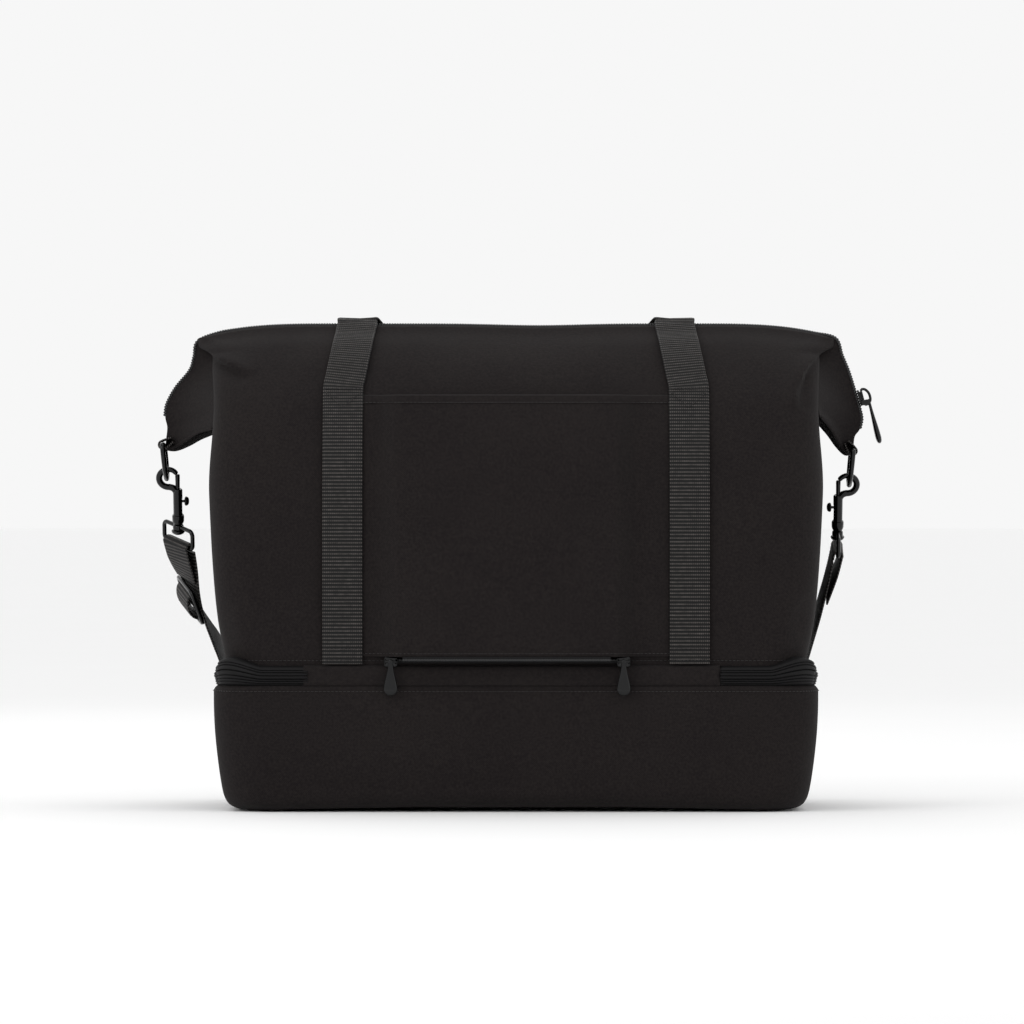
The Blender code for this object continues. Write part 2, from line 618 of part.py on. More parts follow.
def build_hook(name, ring, side, x, turn):
    frame = hook_frame(ring, side, x)
    # The open eye: from the barrel's top, under and round the outside, to its tip above the bolt
    eye = [Vector((side * 0.0006, 0.0, -BARREL_TOP - 0.0030)), Vector((side * 0.0030, 0.0, -BARREL_TOP - 0.0004))]
    for step in range(15):
        angle = math.radians(EYE_START + EYE_SWEEP * step / 14)
        eye.append(Vector((side * (EYE_OFFSET + EYE_RADIUS * math.cos(angle)), 0.0,
                           -EYE_DROP + EYE_RADIUS * math.sin(angle))))
    hook = as_mesh(wire(f"snap_hook_{name}", eye, EYE_WIRE, "black_metal", resolution=2))
    hook.data.materials.append(finish_material("black_metal"))
    combine(hook, rod_mesh((0, 0, -BARREL_TOP), (0, 0, -BARREL_BOTTOM), BARREL_RADIUS, 16), "UNION")
    combine(hook, rod_mesh((0, 0, -BARREL_BOTTOM + 0.0012), (0, 0, -COLLAR_BOTTOM), COLLAR_RADIUS, 16,
                           COLLAR_RADIUS * 0.82), "UNION")
    combine(hook, rod_mesh((0, 0, -COLLAR_BOTTOM + 0.001), (0, 0, -LOOP_TOP - 0.0042), POST_RADIUS, 10), "UNION")
    combine(hook, rod_mesh((0, 0, -LOOP_TOP - 0.0034), (0, 0, -LOOP_TOP - 0.0062), 0.0040, 14, 0.0032), "UNION")
    combine(hook, rod_mesh((0, 0, -BARREL_TOP + 0.001), (0, 0, -KNOB_DROP - BOLT_TRAVEL - 0.0024), BOLT_BORE, 12),
            "DIFFERENCE")
    slot_height = BOLT_TRAVEL + 0.0036
    slot = box_mesh((BARREL_RADIUS * 2, 0.0034, slot_height),
                    (-side * BARREL_RADIUS, 0.0, -KNOB_DROP + 0.0018 - slot_height / 2))
    combine(hook, slot, "DIFFERENCE")
    place_in(hook, frame)

    tip = math.radians(EYE_START + EYE_SWEEP)
    bolt_top = -EYE_DROP + EYE_RADIUS * math.sin(tip) - 0.0006
    bolt = add_object(f"snap_bolt_{name}", rod_mesh((0, 0, bolt_top), (0, 0, -KNOB_DROP - 0.0016), BOLT_ROD, 10),
                      "black_metal")
    combine(bolt, rod_mesh((0, 0, -KNOB_DROP), (-side * 0.0072, 0, -KNOB_DROP), 0.0012, 8), "UNION")
    combine(bolt, rod_mesh((-side * 0.0058, 0, -KNOB_DROP), (-side * 0.0090, 0, -KNOB_DROP), 0.0037, 14, 0.0022),
            "UNION")
    place_in(bolt, frame)

    outline = rounded_frame(LOOP_HALF, (LOOP_BOTTOM - LOOP_TOP) / 2, 0.0026)
    outline = [Vector((p.x, 0.0, p.y - (LOOP_TOP + LOOP_BOTTOM) / 2)) for p in outline]
    loop = as_mesh(wire(f"swivel_loop_{name}", outline, LOOP_WIRE, "black_metal", closed=True, resolution=1))
    loop.data.materials.append(finish_material("black_metal"))
    combine(loop, rod_mesh((0, 0, -LOOP_TOP + 0.0018), (0, 0, -LOOP_TOP - 0.0026), 0.0042, 14), "UNION")
    combine(loop, rod_mesh((0, 0, -LOOP_TOP + 0.004), (0, 0, -LOOP_TOP - 0.006), POST_RADIUS + 0.0005, 12),
            "DIFFERENCE")
    place_in(loop, frame @ Matrix.Rotation(turn, 4, "Z"))


def build_hardware():
    for name, ring in (("left", RING_LEFT), ("right", RING_RIGHT)):
        wire(f"d_ring_{name}", ring_points(ring), RING_WIRE, "black_metal", closed=True, resolution=1,
             origin=(ring[0], 0.0, ring[2]))
    build_hook("left", RING_LEFT, -1, HOOK_LEFT_X, LOOP_TURN_LEFT)
    build_hook("right", RING_RIGHT, 1, HOOK_RIGHT_X, LOOP_TURN_RIGHT)


# ---------------------------------------------------------------- shoulder strap

def strap_line():
    centres = smooth_path([point for point, _ in STRAP_ROUTE], STRAP_STEPS)
    across = [side.normalized() for side in smooth_path([side for _, side in STRAP_ROUTE], STRAP_STEPS)]
    return centres, across


def square_across(run, side):
    """The part of side that is square to run."""
    return (side - run * (side.dot(run) / run.length_squared)).normalized()


def build_strap():
    centres, across = strap_line()
    squared = []
    for i, side in enumerate(across):
        run = centres[min(i + 1, len(centres) - 1)] - centres[max(i - 1, 0)]
        squared.append(square_across(run, side))
    pivot = (RING_LEFT[0], 0.0, RING_LEFT[2] - RING_DROP)
    ribbon("shoulder_strap", centres, squared, WEBBING_WIDTH, WEBBING, "webbing", pivot)
    left_loop = hook_frame(RING_LEFT, -1, HOOK_LEFT_X) @ Matrix.Rotation(LOOP_TURN_LEFT, 4, "Z")
    right_loop = hook_frame(RING_RIGHT, 1, HOOK_RIGHT_X) @ Matrix.Rotation(LOOP_TURN_RIGHT, 4, "Z")
    build_fold("left", centres, squared, left_loop, FOLD_LEFT_LENGTH, pivot)
    build_fold("right", centres[::-1], squared[::-1], right_loop, FOLD_RIGHT_LENGTH, pivot)
    build_adjuster(centres, squared)


def build_fold(name, centres, across, loop, length, origin):
    """The end of the strap: over the loop's lower bar and back along the outer side of the strap."""
    middle = loop @ Vector((0.0, 0.0, -LOOP_BOTTOM))
    side = (loop.to_3x3() @ Vector((1.0, 0.0, 0.0))).normalized()
    if side.dot(across[0]) < 0:
        side = -side
    run = square_across(side, centres[1] - centres[0])
    out = side.cross(run).normalized()
    if out.x * centres[0].x < 0:
        out = -out
    path = [centres[0].lerp(middle - out * FOLD_RADIUS, 0.4)]
    directions = [side]
    for step in range(9):
        angle = math.radians(180 * step / 8)
        path.append(middle - out * (FOLD_RADIUS * math.cos(angle)) - run * (FOLD_RADIUS * math.sin(angle)))
        directions.append(side)
    steps = 4
    for step in range(1, steps + 1):
        along = length * step / steps
        base, normal, across_here = strap_frame(centres, across, along, out)
        ease = 1 - step / steps
        path.append(base + normal * (FOLD_STAND + (2 * FOLD_RADIUS - FOLD_STAND) * ease))
        directions.append(across_here)
    ribbon(f"strap_fold_{name}", path, directions, WEBBING_WIDTH - 0.0022, WEBBING, "webbing", origin)


def strap_frame(centres, across, distance, outward):
    """Point, outward normal and across direction at a distance along the strap."""
    for i in range(len(centres) - 1):
        span = (centres[i + 1] - centres[i]).length
        if distance <= span:
            t = distance / span
            run = (centres[i + 1] - centres[i]).normalized()
            side = square_across(run, across[i].lerp(across[i + 1], t))
            normal = side.cross(run).normalized()
            if normal.dot(outward) < 0:
                normal = -normal
            return centres[i].lerp(centres[i + 1], t), normal, side
        distance -= span
    return centres[-1], outward, across[-1]


def build_adjuster(centres, across):
    """A three-bar slide on the strap's outer side, just below the left fold."""
    outward = Vector((-1.0, 0.0, 0.0))
    point, normal, side = strap_frame(centres, across, ADJUSTER_AT + ADJUSTER_HALF_HEIGHT * 0.4, outward)
    run = normal.cross(side)
    if run.z > 0:
        run = -run
    centre = point + normal * (WEBBING / 2 + ADJUSTER_WIRE + 0.0016)
    frame = Matrix((
        (side.x, run.x, normal.x, centre.x), (side.y, run.y, normal.y, centre.y),
        (side.z, run.z, normal.z, centre.z), (0, 0, 0, 1),
    ))
    outline = rounded_frame(ADJUSTER_HALF_WIDTH, ADJUSTER_HALF_HEIGHT, 0.004)
    frame_item = as_mesh(wire("strap_adjuster", outline, ADJUSTER_WIRE, "black_metal", closed=True))
    frame_item.data.materials.append(finish_material("black_metal"))
    combine(frame_item, rod_mesh((-ADJUSTER_HALF_WIDTH, 0, 0), (ADJUSTER_HALF_WIDTH, 0, 0), ADJUSTER_WIRE * 0.94, 8),
            "UNION")
    place_in(frame_item, frame)


# ---------------------------------------------------------------- sliders and pulls

def face_frame(origin, x_axis, y_axis):
    """Frame of a slider: x along the pull's pin, y up along the hanging pull, z out of the zip."""
    z_axis = Vector(x_axis).cross(Vector(y_axis))
    columns = (Vector(x_axis), Vector(y_axis), z_axis)
    frame = Matrix([[column[i] for column in columns] for i in range(3)]).to_4x4()
    return Matrix.Translation(origin) @ frame


def build_slider(name, frame, size, pin_drop, pull_length):
    """A zip slider with two lugs and a pin, and the teardrop pull that hangs on the pin."""
    body = add_object(name, box_mesh(size, (0, 0, 0)), "black_metal")
    bevel = body.modifiers.new("Edges", "BEVEL")
    bevel.width = 0.0010
    bevel.segments = 1
    face = size[2] / 2
    for side in (-1, 1):
        lug = box_mesh((0.0014, 0.0042, PIN_STAND + 0.0016),
                       (side * PIN_HALF, -pin_drop, face + PIN_STAND / 2))
        combine(body, lug, "UNION")
    pin = rod_mesh((-PIN_HALF - 0.0004, -pin_drop, face + PIN_STAND), (PIN_HALF + 0.0004, -pin_drop, face + PIN_STAND),
                   PIN_RADIUS, 8)
    combine(body, pin, "UNION")
    place_in(body, frame)

    pivot = Matrix.Translation((0.0, -pin_drop, face + PIN_STAND))
    outline = [(-0.0016, -0.0012), (-0.0020, -0.0060), (-0.0034, -pull_length * 0.62)]
    for step in range(9):
        angle = math.radians(190 + 160 * step / 8)
        outline.append((0.0052 * math.cos(angle), -pull_length + 0.0052 + 0.0052 * math.sin(angle)))
    outline += [(0.0034, -pull_length * 0.62), (0.0020, -0.0060), (0.0016, -0.0012)]
    rows = [[Vector((x, y, z)) for x, y in outline] for z in (-PULL_THICK / 2, PULL_THICK / 2)]
    pull = add_object(name.replace("slider", "pull"), grid_mesh("pull", rows, closed=True, capped=True),
                      "black_metal")
    close_top(pull)
    combine(pull, rod_mesh((-0.0031, 0, 0), (0.0031, 0, 0), PULL_EYE, 12), "UNION")
    combine(pull, rod_mesh((-0.006, 0, 0), (0.006, 0, 0), PULL_BORE, 10), "DIFFERENCE")
    place_in(pull, frame @ pivot)


def build_sliders():
    size = (SLIDER_LENGTH, SLIDER_WIDTH, SLIDER_THICK)
    for name, place in (("left", SLEEVE_SLIDER_LEFT), ("right", SLEEVE_SLIDER_RIGHT)):
        frame = face_frame(place, (1, 0, 0), (0, 0, 1))
        build_slider(f"sleeve_slider_{name}", frame, size, 0.0, SLEEVE_PULL)
    for name, side in (("left", -1), ("right", 1)):
        place = (side * BASE_SLIDER_X, BASE_SLIDER_Y, BAND_SPLIT)
        frame = face_frame(place, (-1, 0, 0), (0, 0, 1))
        build_slider(f"base_slider_{name}", frame, size, 0.0, BASE_PULL)
    up = (-math.sin(TOP_EDGE_LEAN), 0.0, math.cos(TOP_EDGE_LEAN))
    out = Vector((math.cos(TOP_EDGE_LEAN), 0.0, math.sin(TOP_EDGE_LEAN)))
    frame = face_frame(TOP_SLIDER + out * 0.0022, (0, 1, 0), up)
    build_slider("top_slider", frame, (SLIDER_WIDTH, 0.0140, SLIDER_THICK), 0.0045, TOP_PULL)


def main():
    build_shells()
    build_wings()
    build_tabs()
    build_base_zip()
    build_top_zip()
    build_sleeve()
    build_anchors()
    build_handles()
    build_hardware()
    build_strap()
    build_sliders()


clear_scene()
BAG = new_collection("weekender_bag")
CUTTERS = new_collection("cutters")
main()
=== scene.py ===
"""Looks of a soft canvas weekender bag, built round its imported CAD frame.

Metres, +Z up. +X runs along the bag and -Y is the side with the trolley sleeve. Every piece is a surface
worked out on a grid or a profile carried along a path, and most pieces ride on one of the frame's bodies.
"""

import math

import bmesh
import bpy
import numpy as np
from mathutils import Matrix, Vector


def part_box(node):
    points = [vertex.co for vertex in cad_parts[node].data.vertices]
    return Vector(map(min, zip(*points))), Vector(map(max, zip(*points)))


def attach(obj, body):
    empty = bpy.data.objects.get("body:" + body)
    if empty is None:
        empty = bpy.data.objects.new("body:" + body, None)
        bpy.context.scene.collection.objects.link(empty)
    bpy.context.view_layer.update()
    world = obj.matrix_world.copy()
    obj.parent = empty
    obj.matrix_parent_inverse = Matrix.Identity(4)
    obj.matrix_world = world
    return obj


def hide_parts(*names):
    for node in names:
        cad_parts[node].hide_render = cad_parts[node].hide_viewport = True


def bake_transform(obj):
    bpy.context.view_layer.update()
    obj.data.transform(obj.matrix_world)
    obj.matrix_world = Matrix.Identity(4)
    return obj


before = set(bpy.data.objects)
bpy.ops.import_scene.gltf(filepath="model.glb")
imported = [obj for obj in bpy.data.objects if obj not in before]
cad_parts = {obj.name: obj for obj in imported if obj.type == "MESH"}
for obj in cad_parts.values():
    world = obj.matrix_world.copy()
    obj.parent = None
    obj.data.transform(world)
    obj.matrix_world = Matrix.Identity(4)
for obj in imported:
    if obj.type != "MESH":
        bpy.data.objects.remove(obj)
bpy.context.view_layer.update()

bl_info = {
    "name": "Weekender Bag",
    "version": (1, 0, 0),
    "blender": (4, 5, 0),
    "location": "View3D > Sidebar > Bag",
    "description": "Builds the cloth, webbing, zips and hardware of a weekender bag round its frame",
    "category": "Object",
}

SIDES = (("left", -1), ("right", 1))

# -------------------------------------------------------- sizes, from the frame and given here as numbers

# Height, half length and half depth of each section of the two cloth shells
BASE_LEVELS = (
    (0.0030, 0.2130, 0.0860), (0.0008, 0.2200, 0.0930), (0.0070, 0.2300, 0.1030), (0.0250, 0.2350, 0.1060),
    (0.0600, 0.2395, 0.1075), (0.0920, 0.2405, 0.1078), (0.0985, 0.2385, 0.1068), (0.1006, 0.2345, 0.1040),
)
UPPER_LEVELS = (
    (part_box("divider")[0].z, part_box("divider")[1].x - 0.001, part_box("divider")[1].y - 0.001),
    (0.1146, 0.2290, 0.1015), (0.1165, 0.2305, 0.1030), (0.1500, 0.2370, 0.1048), (0.2000, 0.2415, 0.1060),
    (0.2550, 0.2440, 0.1040), (0.2950, 0.2455, 0.0970), (0.3250, 0.2475, 0.0840), (0.3500, 0.2505, 0.0620),
    (0.3680, 0.2535, 0.0380), (0.3790, 0.2555, 0.0170), (0.3850, 0.2560, 0.0080),
)
CORNER_RADIUS = 0.038
CANVAS = 0.0020
BASE_SEAM, MAIN_SEAM = 0.0955, 0.1192

BAND_HALF_LENGTH = 0.2375
BAND_HALF_DEPTH = 0.1057
BAND_RADIUS = 0.036
BAND_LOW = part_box("rear_hinge_strip")[0].z
BAND_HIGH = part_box("rear_hinge_strip")[1].z
STRIP_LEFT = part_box("rear_hinge_strip")[0].x
STRIP_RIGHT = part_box("rear_hinge_strip")[1].x

STRAP_X = (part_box("rear_strap_right")[0].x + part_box("rear_strap_right")[1].x) / 2 + 0.0050
CREST_X = 0.127
CREST_Z = 0.3905
SEWN_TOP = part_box("front_strap_left")[1].z
SEWN_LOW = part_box("rear_strap_left")[0].z
REAR_HANDLE_DROP = 0.115
FRONT_HANDLE_DROP = 0.165

RIDGE_Z = 0.3872

SLEEVE_LOW, SLEEVE_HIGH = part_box("trolley_sleeve")[0].z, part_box("trolley_sleeve")[1].z
SLEEVE_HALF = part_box("trolley_sleeve")[1].x
SLEEVE_CENTRE = -0.0075
SLEEVE_OPEN_HALF = 0.0855
SLEEVE_RAMP = 0.012
SLEEVE_STAND = 0.013

# Side wings, as x outwards and z: the zipped outer edge from the ridge to the tip, and the lower edge
# from there in
WING_EDGE = {
    "left": ((0.2560, 0.3740), (0.2588, 0.3620), (0.2622, 0.3510), (0.2735, 0.3370), (0.2806, 0.3240),
             (0.2822, 0.3140), (0.2806, 0.3060), (0.2815, 0.2970), (0.2822, 0.2900)),
    "right": ((0.2570, 0.3765), (0.2622, 0.3630), (0.2675, 0.3500), (0.2722, 0.3350), (0.2765, 0.3200),
              (0.2780, 0.3120), (0.2765, 0.3040), (0.2725, 0.2985), (0.2715, 0.2880)),
}
WING_LOW = {
    "left": ((0.2822, 0.2880), (0.2740, 0.2895), (0.2640, 0.2950), (0.2540, 0.3005), (0.2400, 0.3040)),
    "right": ((0.2715, 0.2860), (0.2655, 0.2855), (0.2590, 0.2935), (0.2520, 0.3040), (0.2420, 0.3140)),
}
WING_ZIP_END = {"left": 0.3065, "right": 0.3010}

# D-rings: x at the straight bar and at the bottom, and height of the bar
RING_WIRE = 0.0021
RING_RADIUS = 0.0182
RING_DROP = 0.0090
RINGS = {"left": (-0.2838, -0.2810, 0.2910), "right": (0.2706, 0.2680, 0.2860)}

# Snap hooks, in their own frame: heights below the D-ring's centre, before they lean forward
HOOK_LEAN = math.radians(20.0)
HOOK_X = {"left": -0.2800, "right": 0.2670}
LOOP_TURN = {"left": math.radians(-50.0), "right": math.radians(90.0)}
EYE_DROP, EYE_RADIUS, EYE_OFFSET = 0.0189, 0.0075, 0.0073
EYE_START, EYE_SWEEP = -106.0, 256.0
BARREL_TOP, BARREL_BOTTOM, BARREL_RADIUS = 0.0280, 0.0515, 0.0038
KNOB_DROP = 0.0385
COLLAR_BOTTOM, COLLAR_RADIUS = 0.0580, 0.0047
LOOP_TOP, LOOP_BOTTOM, LOOP_HALF, LOOP_WIRE = 0.0602, 0.0755, 0.0186, 0.00175

# Shoulder strap: points of its middle line and the direction across it, from the left hook to the right one
STRAP_ROUTE = (
    ((-0.2693, 0.0291, 0.2075), (-0.643, 0.720, 0.262)), ((-0.2668, 0.0352, 0.1935), (-0.600, 0.750, 0.280)),
    ((-0.2622, 0.0450, 0.1740), (-0.42, 0.82, 0.40)), ((-0.2555, 0.0570, 0.1550), (-0.24, 0.84, 0.48)),
    ((-0.2475, 0.0760, 0.1370), (-0.10, 0.82, 0.56)), ((-0.2410, 0.0970, 0.1220), (0.00, 0.78, 0.62)),
    ((-0.2370, 0.1140, 0.1050), (0.00, 0.80, 0.60)), ((-0.2290, 0.1250, 0.0840), (0.00, 0.86, 0.51)),
    ((-0.2140, 0.1330, 0.0560), (0.00, 0.90, 0.43)), ((-0.1910, 0.1410, 0.0290), (0.00, 0.93, 0.36)),
    ((-0.1580, 0.1470, 0.0110), (0.00, 0.98, 0.18)), ((-0.1150, 0.1500, 0.0032), (0.00, 1.00, 0.00)),
    ((-0.0550, 0.1520, 0.0030), (0.00, 1.00, 0.00)), ((0.0000, 0.1530, 0.0052), (0.00, 1.00, 0.00)),
    ((0.0550, 0.1520, 0.0030), (0.00, 1.00, 0.00)), ((0.1150, 0.1500, 0.0032), (0.00, 1.00, 0.00)),
    ((0.1570, 0.1470, 0.0110), (0.00, 0.98, 0.18)), ((0.1890, 0.1410, 0.0290), (0.00, 0.93, 0.36)),
    ((0.2110, 0.1330, 0.0560), (0.00, 0.90, 0.43)), ((0.2250, 0.1250, 0.0840), (0.00, 0.86, 0.51)),
    ((0.2325, 0.1150, 0.1050), (0.00, 0.80, 0.60)), ((0.2375, 0.1010, 0.1230), (0.00, 0.78, 0.62)),
    ((0.2415, 0.0820, 0.1390), (0.00, 0.80, 0.60)), ((0.2455, 0.0650, 0.1545), (0.00, 0.84, 0.54)),
    ((0.2492, 0.0480, 0.1705), (0.00, 0.88, 0.47)), ((0.2530, 0.0350, 0.1880), (0.00, 0.92, 0.40)),
    ((0.2555, 0.0276, 0.2015), (0.00, 0.94, 0.34)),
)
FOLD_LENGTH = {"left": 0.026, "right": 0.036}
FOLD_RADIUS, FOLD_STAND = 0.0035, 0.0028
ADJUSTER_AT = 0.0455
ADJUSTER_HALF_WIDTH, ADJUSTER_HALF_HEIGHT, ADJUSTER_WIRE = 0.0190, 0.0150, 0.0017

PIN_STAND, PIN_HALF, PIN_RADIUS = 0.0034, 0.0042, 0.0009
SLIDER_SIZE = (0.0105, 0.0080, 0.0040)
TOP_EDGE_LEAN = math.radians(14.6)


def linear(hex_colour):
    """sRGB hex to linear: below 0.04045 a straight line, above it a power of 2.4."""
    parts = [int(hex_colour[i:i + 2], 16) / 255 for i in (1, 3, 5)]
    return tuple(c / 12.92 if c <= 0.04045 else ((c + 0.055) / 1.055) ** 2.4 for c in parts)


def length_setting(name, description, default):
    return bpy.props.FloatProperty(name=name, description=description, default=default, min=0.00001,
                                   subtype="DISTANCE", unit="LENGTH", precision=5)


def colour_setting(name, description, hex_colour):
    return bpy.props.FloatVectorProperty(name=name, description=description, default=linear(hex_colour),
                                         min=0.0, max=1.0, size=3, subtype="COLOR")


class BagSizes(bpy.types.PropertyGroup):
    """Sizes that a maker would choose"""
    webbing_width: length_setting("Webbing Width", "Width of the carry and shoulder webbing", 0.032)
    webbing: length_setting("Webbing Thickness", "Thickness of the webbing between its ribs", 0.0016)
    rib_pitch: length_setting("Rib Pitch", "Distance from one rib of the webbing to the next", 0.0029)
    rib_height: length_setting("Rib Height", "How far a rib stands above the webbing", 0.00034)
    stitch: length_setting("Stitch", "Length of one stitch with its gap", 0.0032)
    thread: length_setting("Thread", "Thickness of the sewing thread", 0.0006)
    coil_pitch: length_setting("Coil Pitch", "Distance from one zip tooth to the next", 0.0021)
    cloth_fold: length_setting("Cloth Fold", "How deep the soft folds of the canvas are", 0.0030)


class BagColours(bpy.types.PropertyGroup):
    """Colours of the finishes"""
    canvas: colour_setting("Canvas", "Threads of the canvas", "#130F10")
    canvas_light: colour_setting("Canvas High", "Threads of the canvas where they catch light", "#211D1C")
    # Webbing is the black nylon, taken darker still as painted shade for the gaps between the ribs
    webbing: colour_setting("Webbing", "Nylon between the ribs", "#040404")
    # Webbing Rib is a painted highlight: the lit tops of the ribs, mixed over the black nylon
    webbing_rib_highlight: colour_setting("Webbing Rib", "Nylon on top of the ribs", "#57524F")
    zip_tape: colour_setting("Zip Tape", "Polyester tape", "#080708")
    zip_coil: colour_setting("Zip Coil", "Nylon coil", "#060607")
    metal: colour_setting("Metal", "Black plated zinc", "#060607")
    thread: colour_setting("Thread", "Sewing thread", "#1C1A1A")
    lining: colour_setting("Lining", "Lining cloth and boards", "#302E2E")
    floor: colour_setting("Floor", "Studio floor", "#FAFAFA")


# ---------------------------------------------------------------- curves and grids

def unit(vectors):
    """Each vector divided by its length."""
    return vectors / np.maximum(np.linalg.norm(vectors, axis=-1, keepdims=True), 1e-12)


def smooth(values, low, high):
    """0 below low, 1 above high and 3t^2 - 2t^3 between them."""
    t = np.clip((values - low) / (high - low), 0.0, 1.0)
    return t * t * (3 - 2 * t)


def catmull(points, spans=12):
    """Curve through the points: each span blends its two ends and their neighbours with cubic weights."""
    p = np.asarray(points, float)
    count = len(p) - 1
    p = np.vstack([p[:1], p, p[-1:]])
    t = np.linspace(0.0, 1.0, spans, endpoint=False)[None, :, None]
    a, b, c, d = (p[i:i + count, None, :] for i in range(4))
    curve = 2 * b + (c - a) * t + (2 * a - 5 * b + 4 * c - d) * t ** 2 + (3 * b - a - 3 * c + d) * t ** 3
    return np.vstack([0.5 * curve.reshape(-1, p.shape[1]), p[-1:]])


def distances(line):
    """Distance along a line of points, from its first three columns."""
    return np.concatenate([[0.0], np.cumsum(np.linalg.norm(np.diff(line[:, :3], axis=0), axis=1))])


def at_distance(line, where):
    """The line's columns at distances along it, straight between its points."""
    s = distances(line)
    return np.stack([np.interp(where, s, column) for column in line.T], axis=-1)


def resample(line, step):
    """The line at equal steps of about that length, and the distance of each step."""
    total = distances(line)[-1]
    where = np.linspace(0.0, total, max(2, round(total / step) + 1))
    return at_distance(line, where), where


def moving_frame(line, across):
    """Direction of travel, the part of across square to it, and the normal of the two, at each point."""
    run = unit(np.gradient(line, axis=0))
    side = unit(across - run * (across * run).sum(-1, keepdims=True))
    return run, side, np.cross(side, run)


def patch(grid, rings=False, loops=False, caps=False, uv=None):
    """One surface: its points, faces between neighbours, and the place in the cloth of each face corner.
    rings joins the last column to the first, loops the last row to the first, and caps closes the end
    rings."""
    rows, columns = grid.shape[:2]
    if uv is None:
        v, u = np.meshgrid(np.arange(rows) * 1e-3, np.arange(columns + 1) * 1e-3, indexing="ij")
        uv = np.stack([u, v], -1)
    r = np.arange(rows if loops else rows - 1)[:, None]
    c = np.arange(columns if rings else columns - 1)[None, :]
    corners = ((r, c), (r, c + 1), (r + 1, c + 1), (r + 1, c))
    faces = np.stack([(i % rows) * columns + j % columns for i, j in corners], -1).reshape(-1, 4)
    spread = np.stack([uv[tuple(np.broadcast_arrays(i % rows, j))] for i, j in corners], -2).reshape(-1, 2)
    faces = faces.tolist()
    if caps:
        last = (rows - 1) * columns
        faces += [list(range(columns))[::-1], list(range(last, last + columns))]
        spread = np.vstack([spread, np.zeros((2 * columns, 2))])
    return grid.reshape(-1, 3), faces, spread


def make_piece(name, patches, finish, body=None, stands_for=(), wall=0.0, sharp=50.0):
    """One object from its patches, with its normals turned outwards, its finish, and the body it rides on."""
    points, faces, spread, start = [], [], [], 0
    for grid, quads, places in patches:
        points.append(grid)
        spread.append(places)
        faces += [[i + start for i in face] for face in quads]
        start += len(grid)
    mesh = bpy.data.meshes.new(name)
    mesh.from_pydata(np.vstack(points).tolist(), [], faces)
    cloth = mesh.uv_layers.new(name="Cloth")
    cloth.data.foreach_set("uv", np.vstack(spread).astype(np.float32).ravel())
    work = bmesh.new()
    work.from_mesh(mesh)
    bmesh.ops.recalc_face_normals(work, faces=work.faces)
    work.to_mesh(mesh)
    work.free()
    mesh.polygons.foreach_set("use_smooth", np.ones(len(mesh.polygons), bool))
    mesh.set_sharp_from_angle(angle=math.radians(sharp))
    mesh.materials.append(finish)
    made = bpy.data.objects.new(name, mesh)
    bpy.context.scene.collection.objects.link(made)
    if wall:
        layer = made.modifiers.new("Cloth Thickness", "SOLIDIFY")
        layer.thickness = wall
        layer.offset = -1.0
    if body:
        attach(made, body)
    if stands_for:
        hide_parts(*stands_for)
    return made


def tube(line, radius, flat, sides=14, closed=False):
    """Round bar: at each point of a line that lies in a plane, a ring of that radius square to the line."""
    line = np.asarray(line, float)
    if closed:
        run = unit(np.roll(line, -1, axis=0) - np.roll(line, 1, axis=0))
    else:
        run = unit(np.gradient(line, axis=0))
    flat = np.broadcast_to(unit(np.asarray(flat, float)), line.shape)
    other = unit(np.cross(run, flat))
    turn = np.linspace(0.0, 2 * np.pi, sides, endpoint=False)
    radius = np.broadcast_to(np.asarray(radius, float), (len(line),))[:, None, None]
    ring = flat[:, None] * np.cos(turn)[None, :, None] + other[:, None] * np.sin(turn)[None, :, None]
    return patch(line[:, None] + ring * radius, rings=True, loops=closed, caps=not closed)


def turned(start, axis, profile, sides=24):
    """Turned part: each (height, radius) of the profile is a ring round the axis."""
    start, axis = np.asarray(start, float), unit(np.asarray(axis, float))
    first = unit(np.cross(axis, (0.3, 0.9, 0.2)))
    second = np.cross(axis, first)
    turn = np.linspace(0.0, 2 * np.pi, sides, endpoint=False)[None, :, None]
    height, radius = (np.asarray(column, float)[:, None, None] for column in zip(*profile))
    return patch(start + axis * height + radius * (first * np.cos(turn) + second * np.sin(turn)),
                 rings=True, caps=True)


def pebble(centre, axes, size, power=4.0, rows=9, sides=24):
    """Rounded block: a superellipsoid, where the powers of the three shares of its half sizes add up to
    one."""
    centre, axes, size = np.asarray(centre, float), np.asarray(axes, float), np.asarray(size, float)
    lift = np.linspace(-np.pi / 2 * 0.985, np.pi / 2 * 0.985, rows)[:, None]
    turn = np.linspace(0.0, 2 * np.pi, sides, endpoint=False)[None, :]

    def share(value):
        return np.sign(value) * np.abs(value) ** (2 / power)

    local = np.stack([share(np.cos(lift)) * share(np.cos(turn)), share(np.cos(lift)) * share(np.sin(turn)),
                      share(np.sin(lift)) + 0 * turn], -1)
    return patch(centre + (local * size) @ axes, rings=True, caps=True)


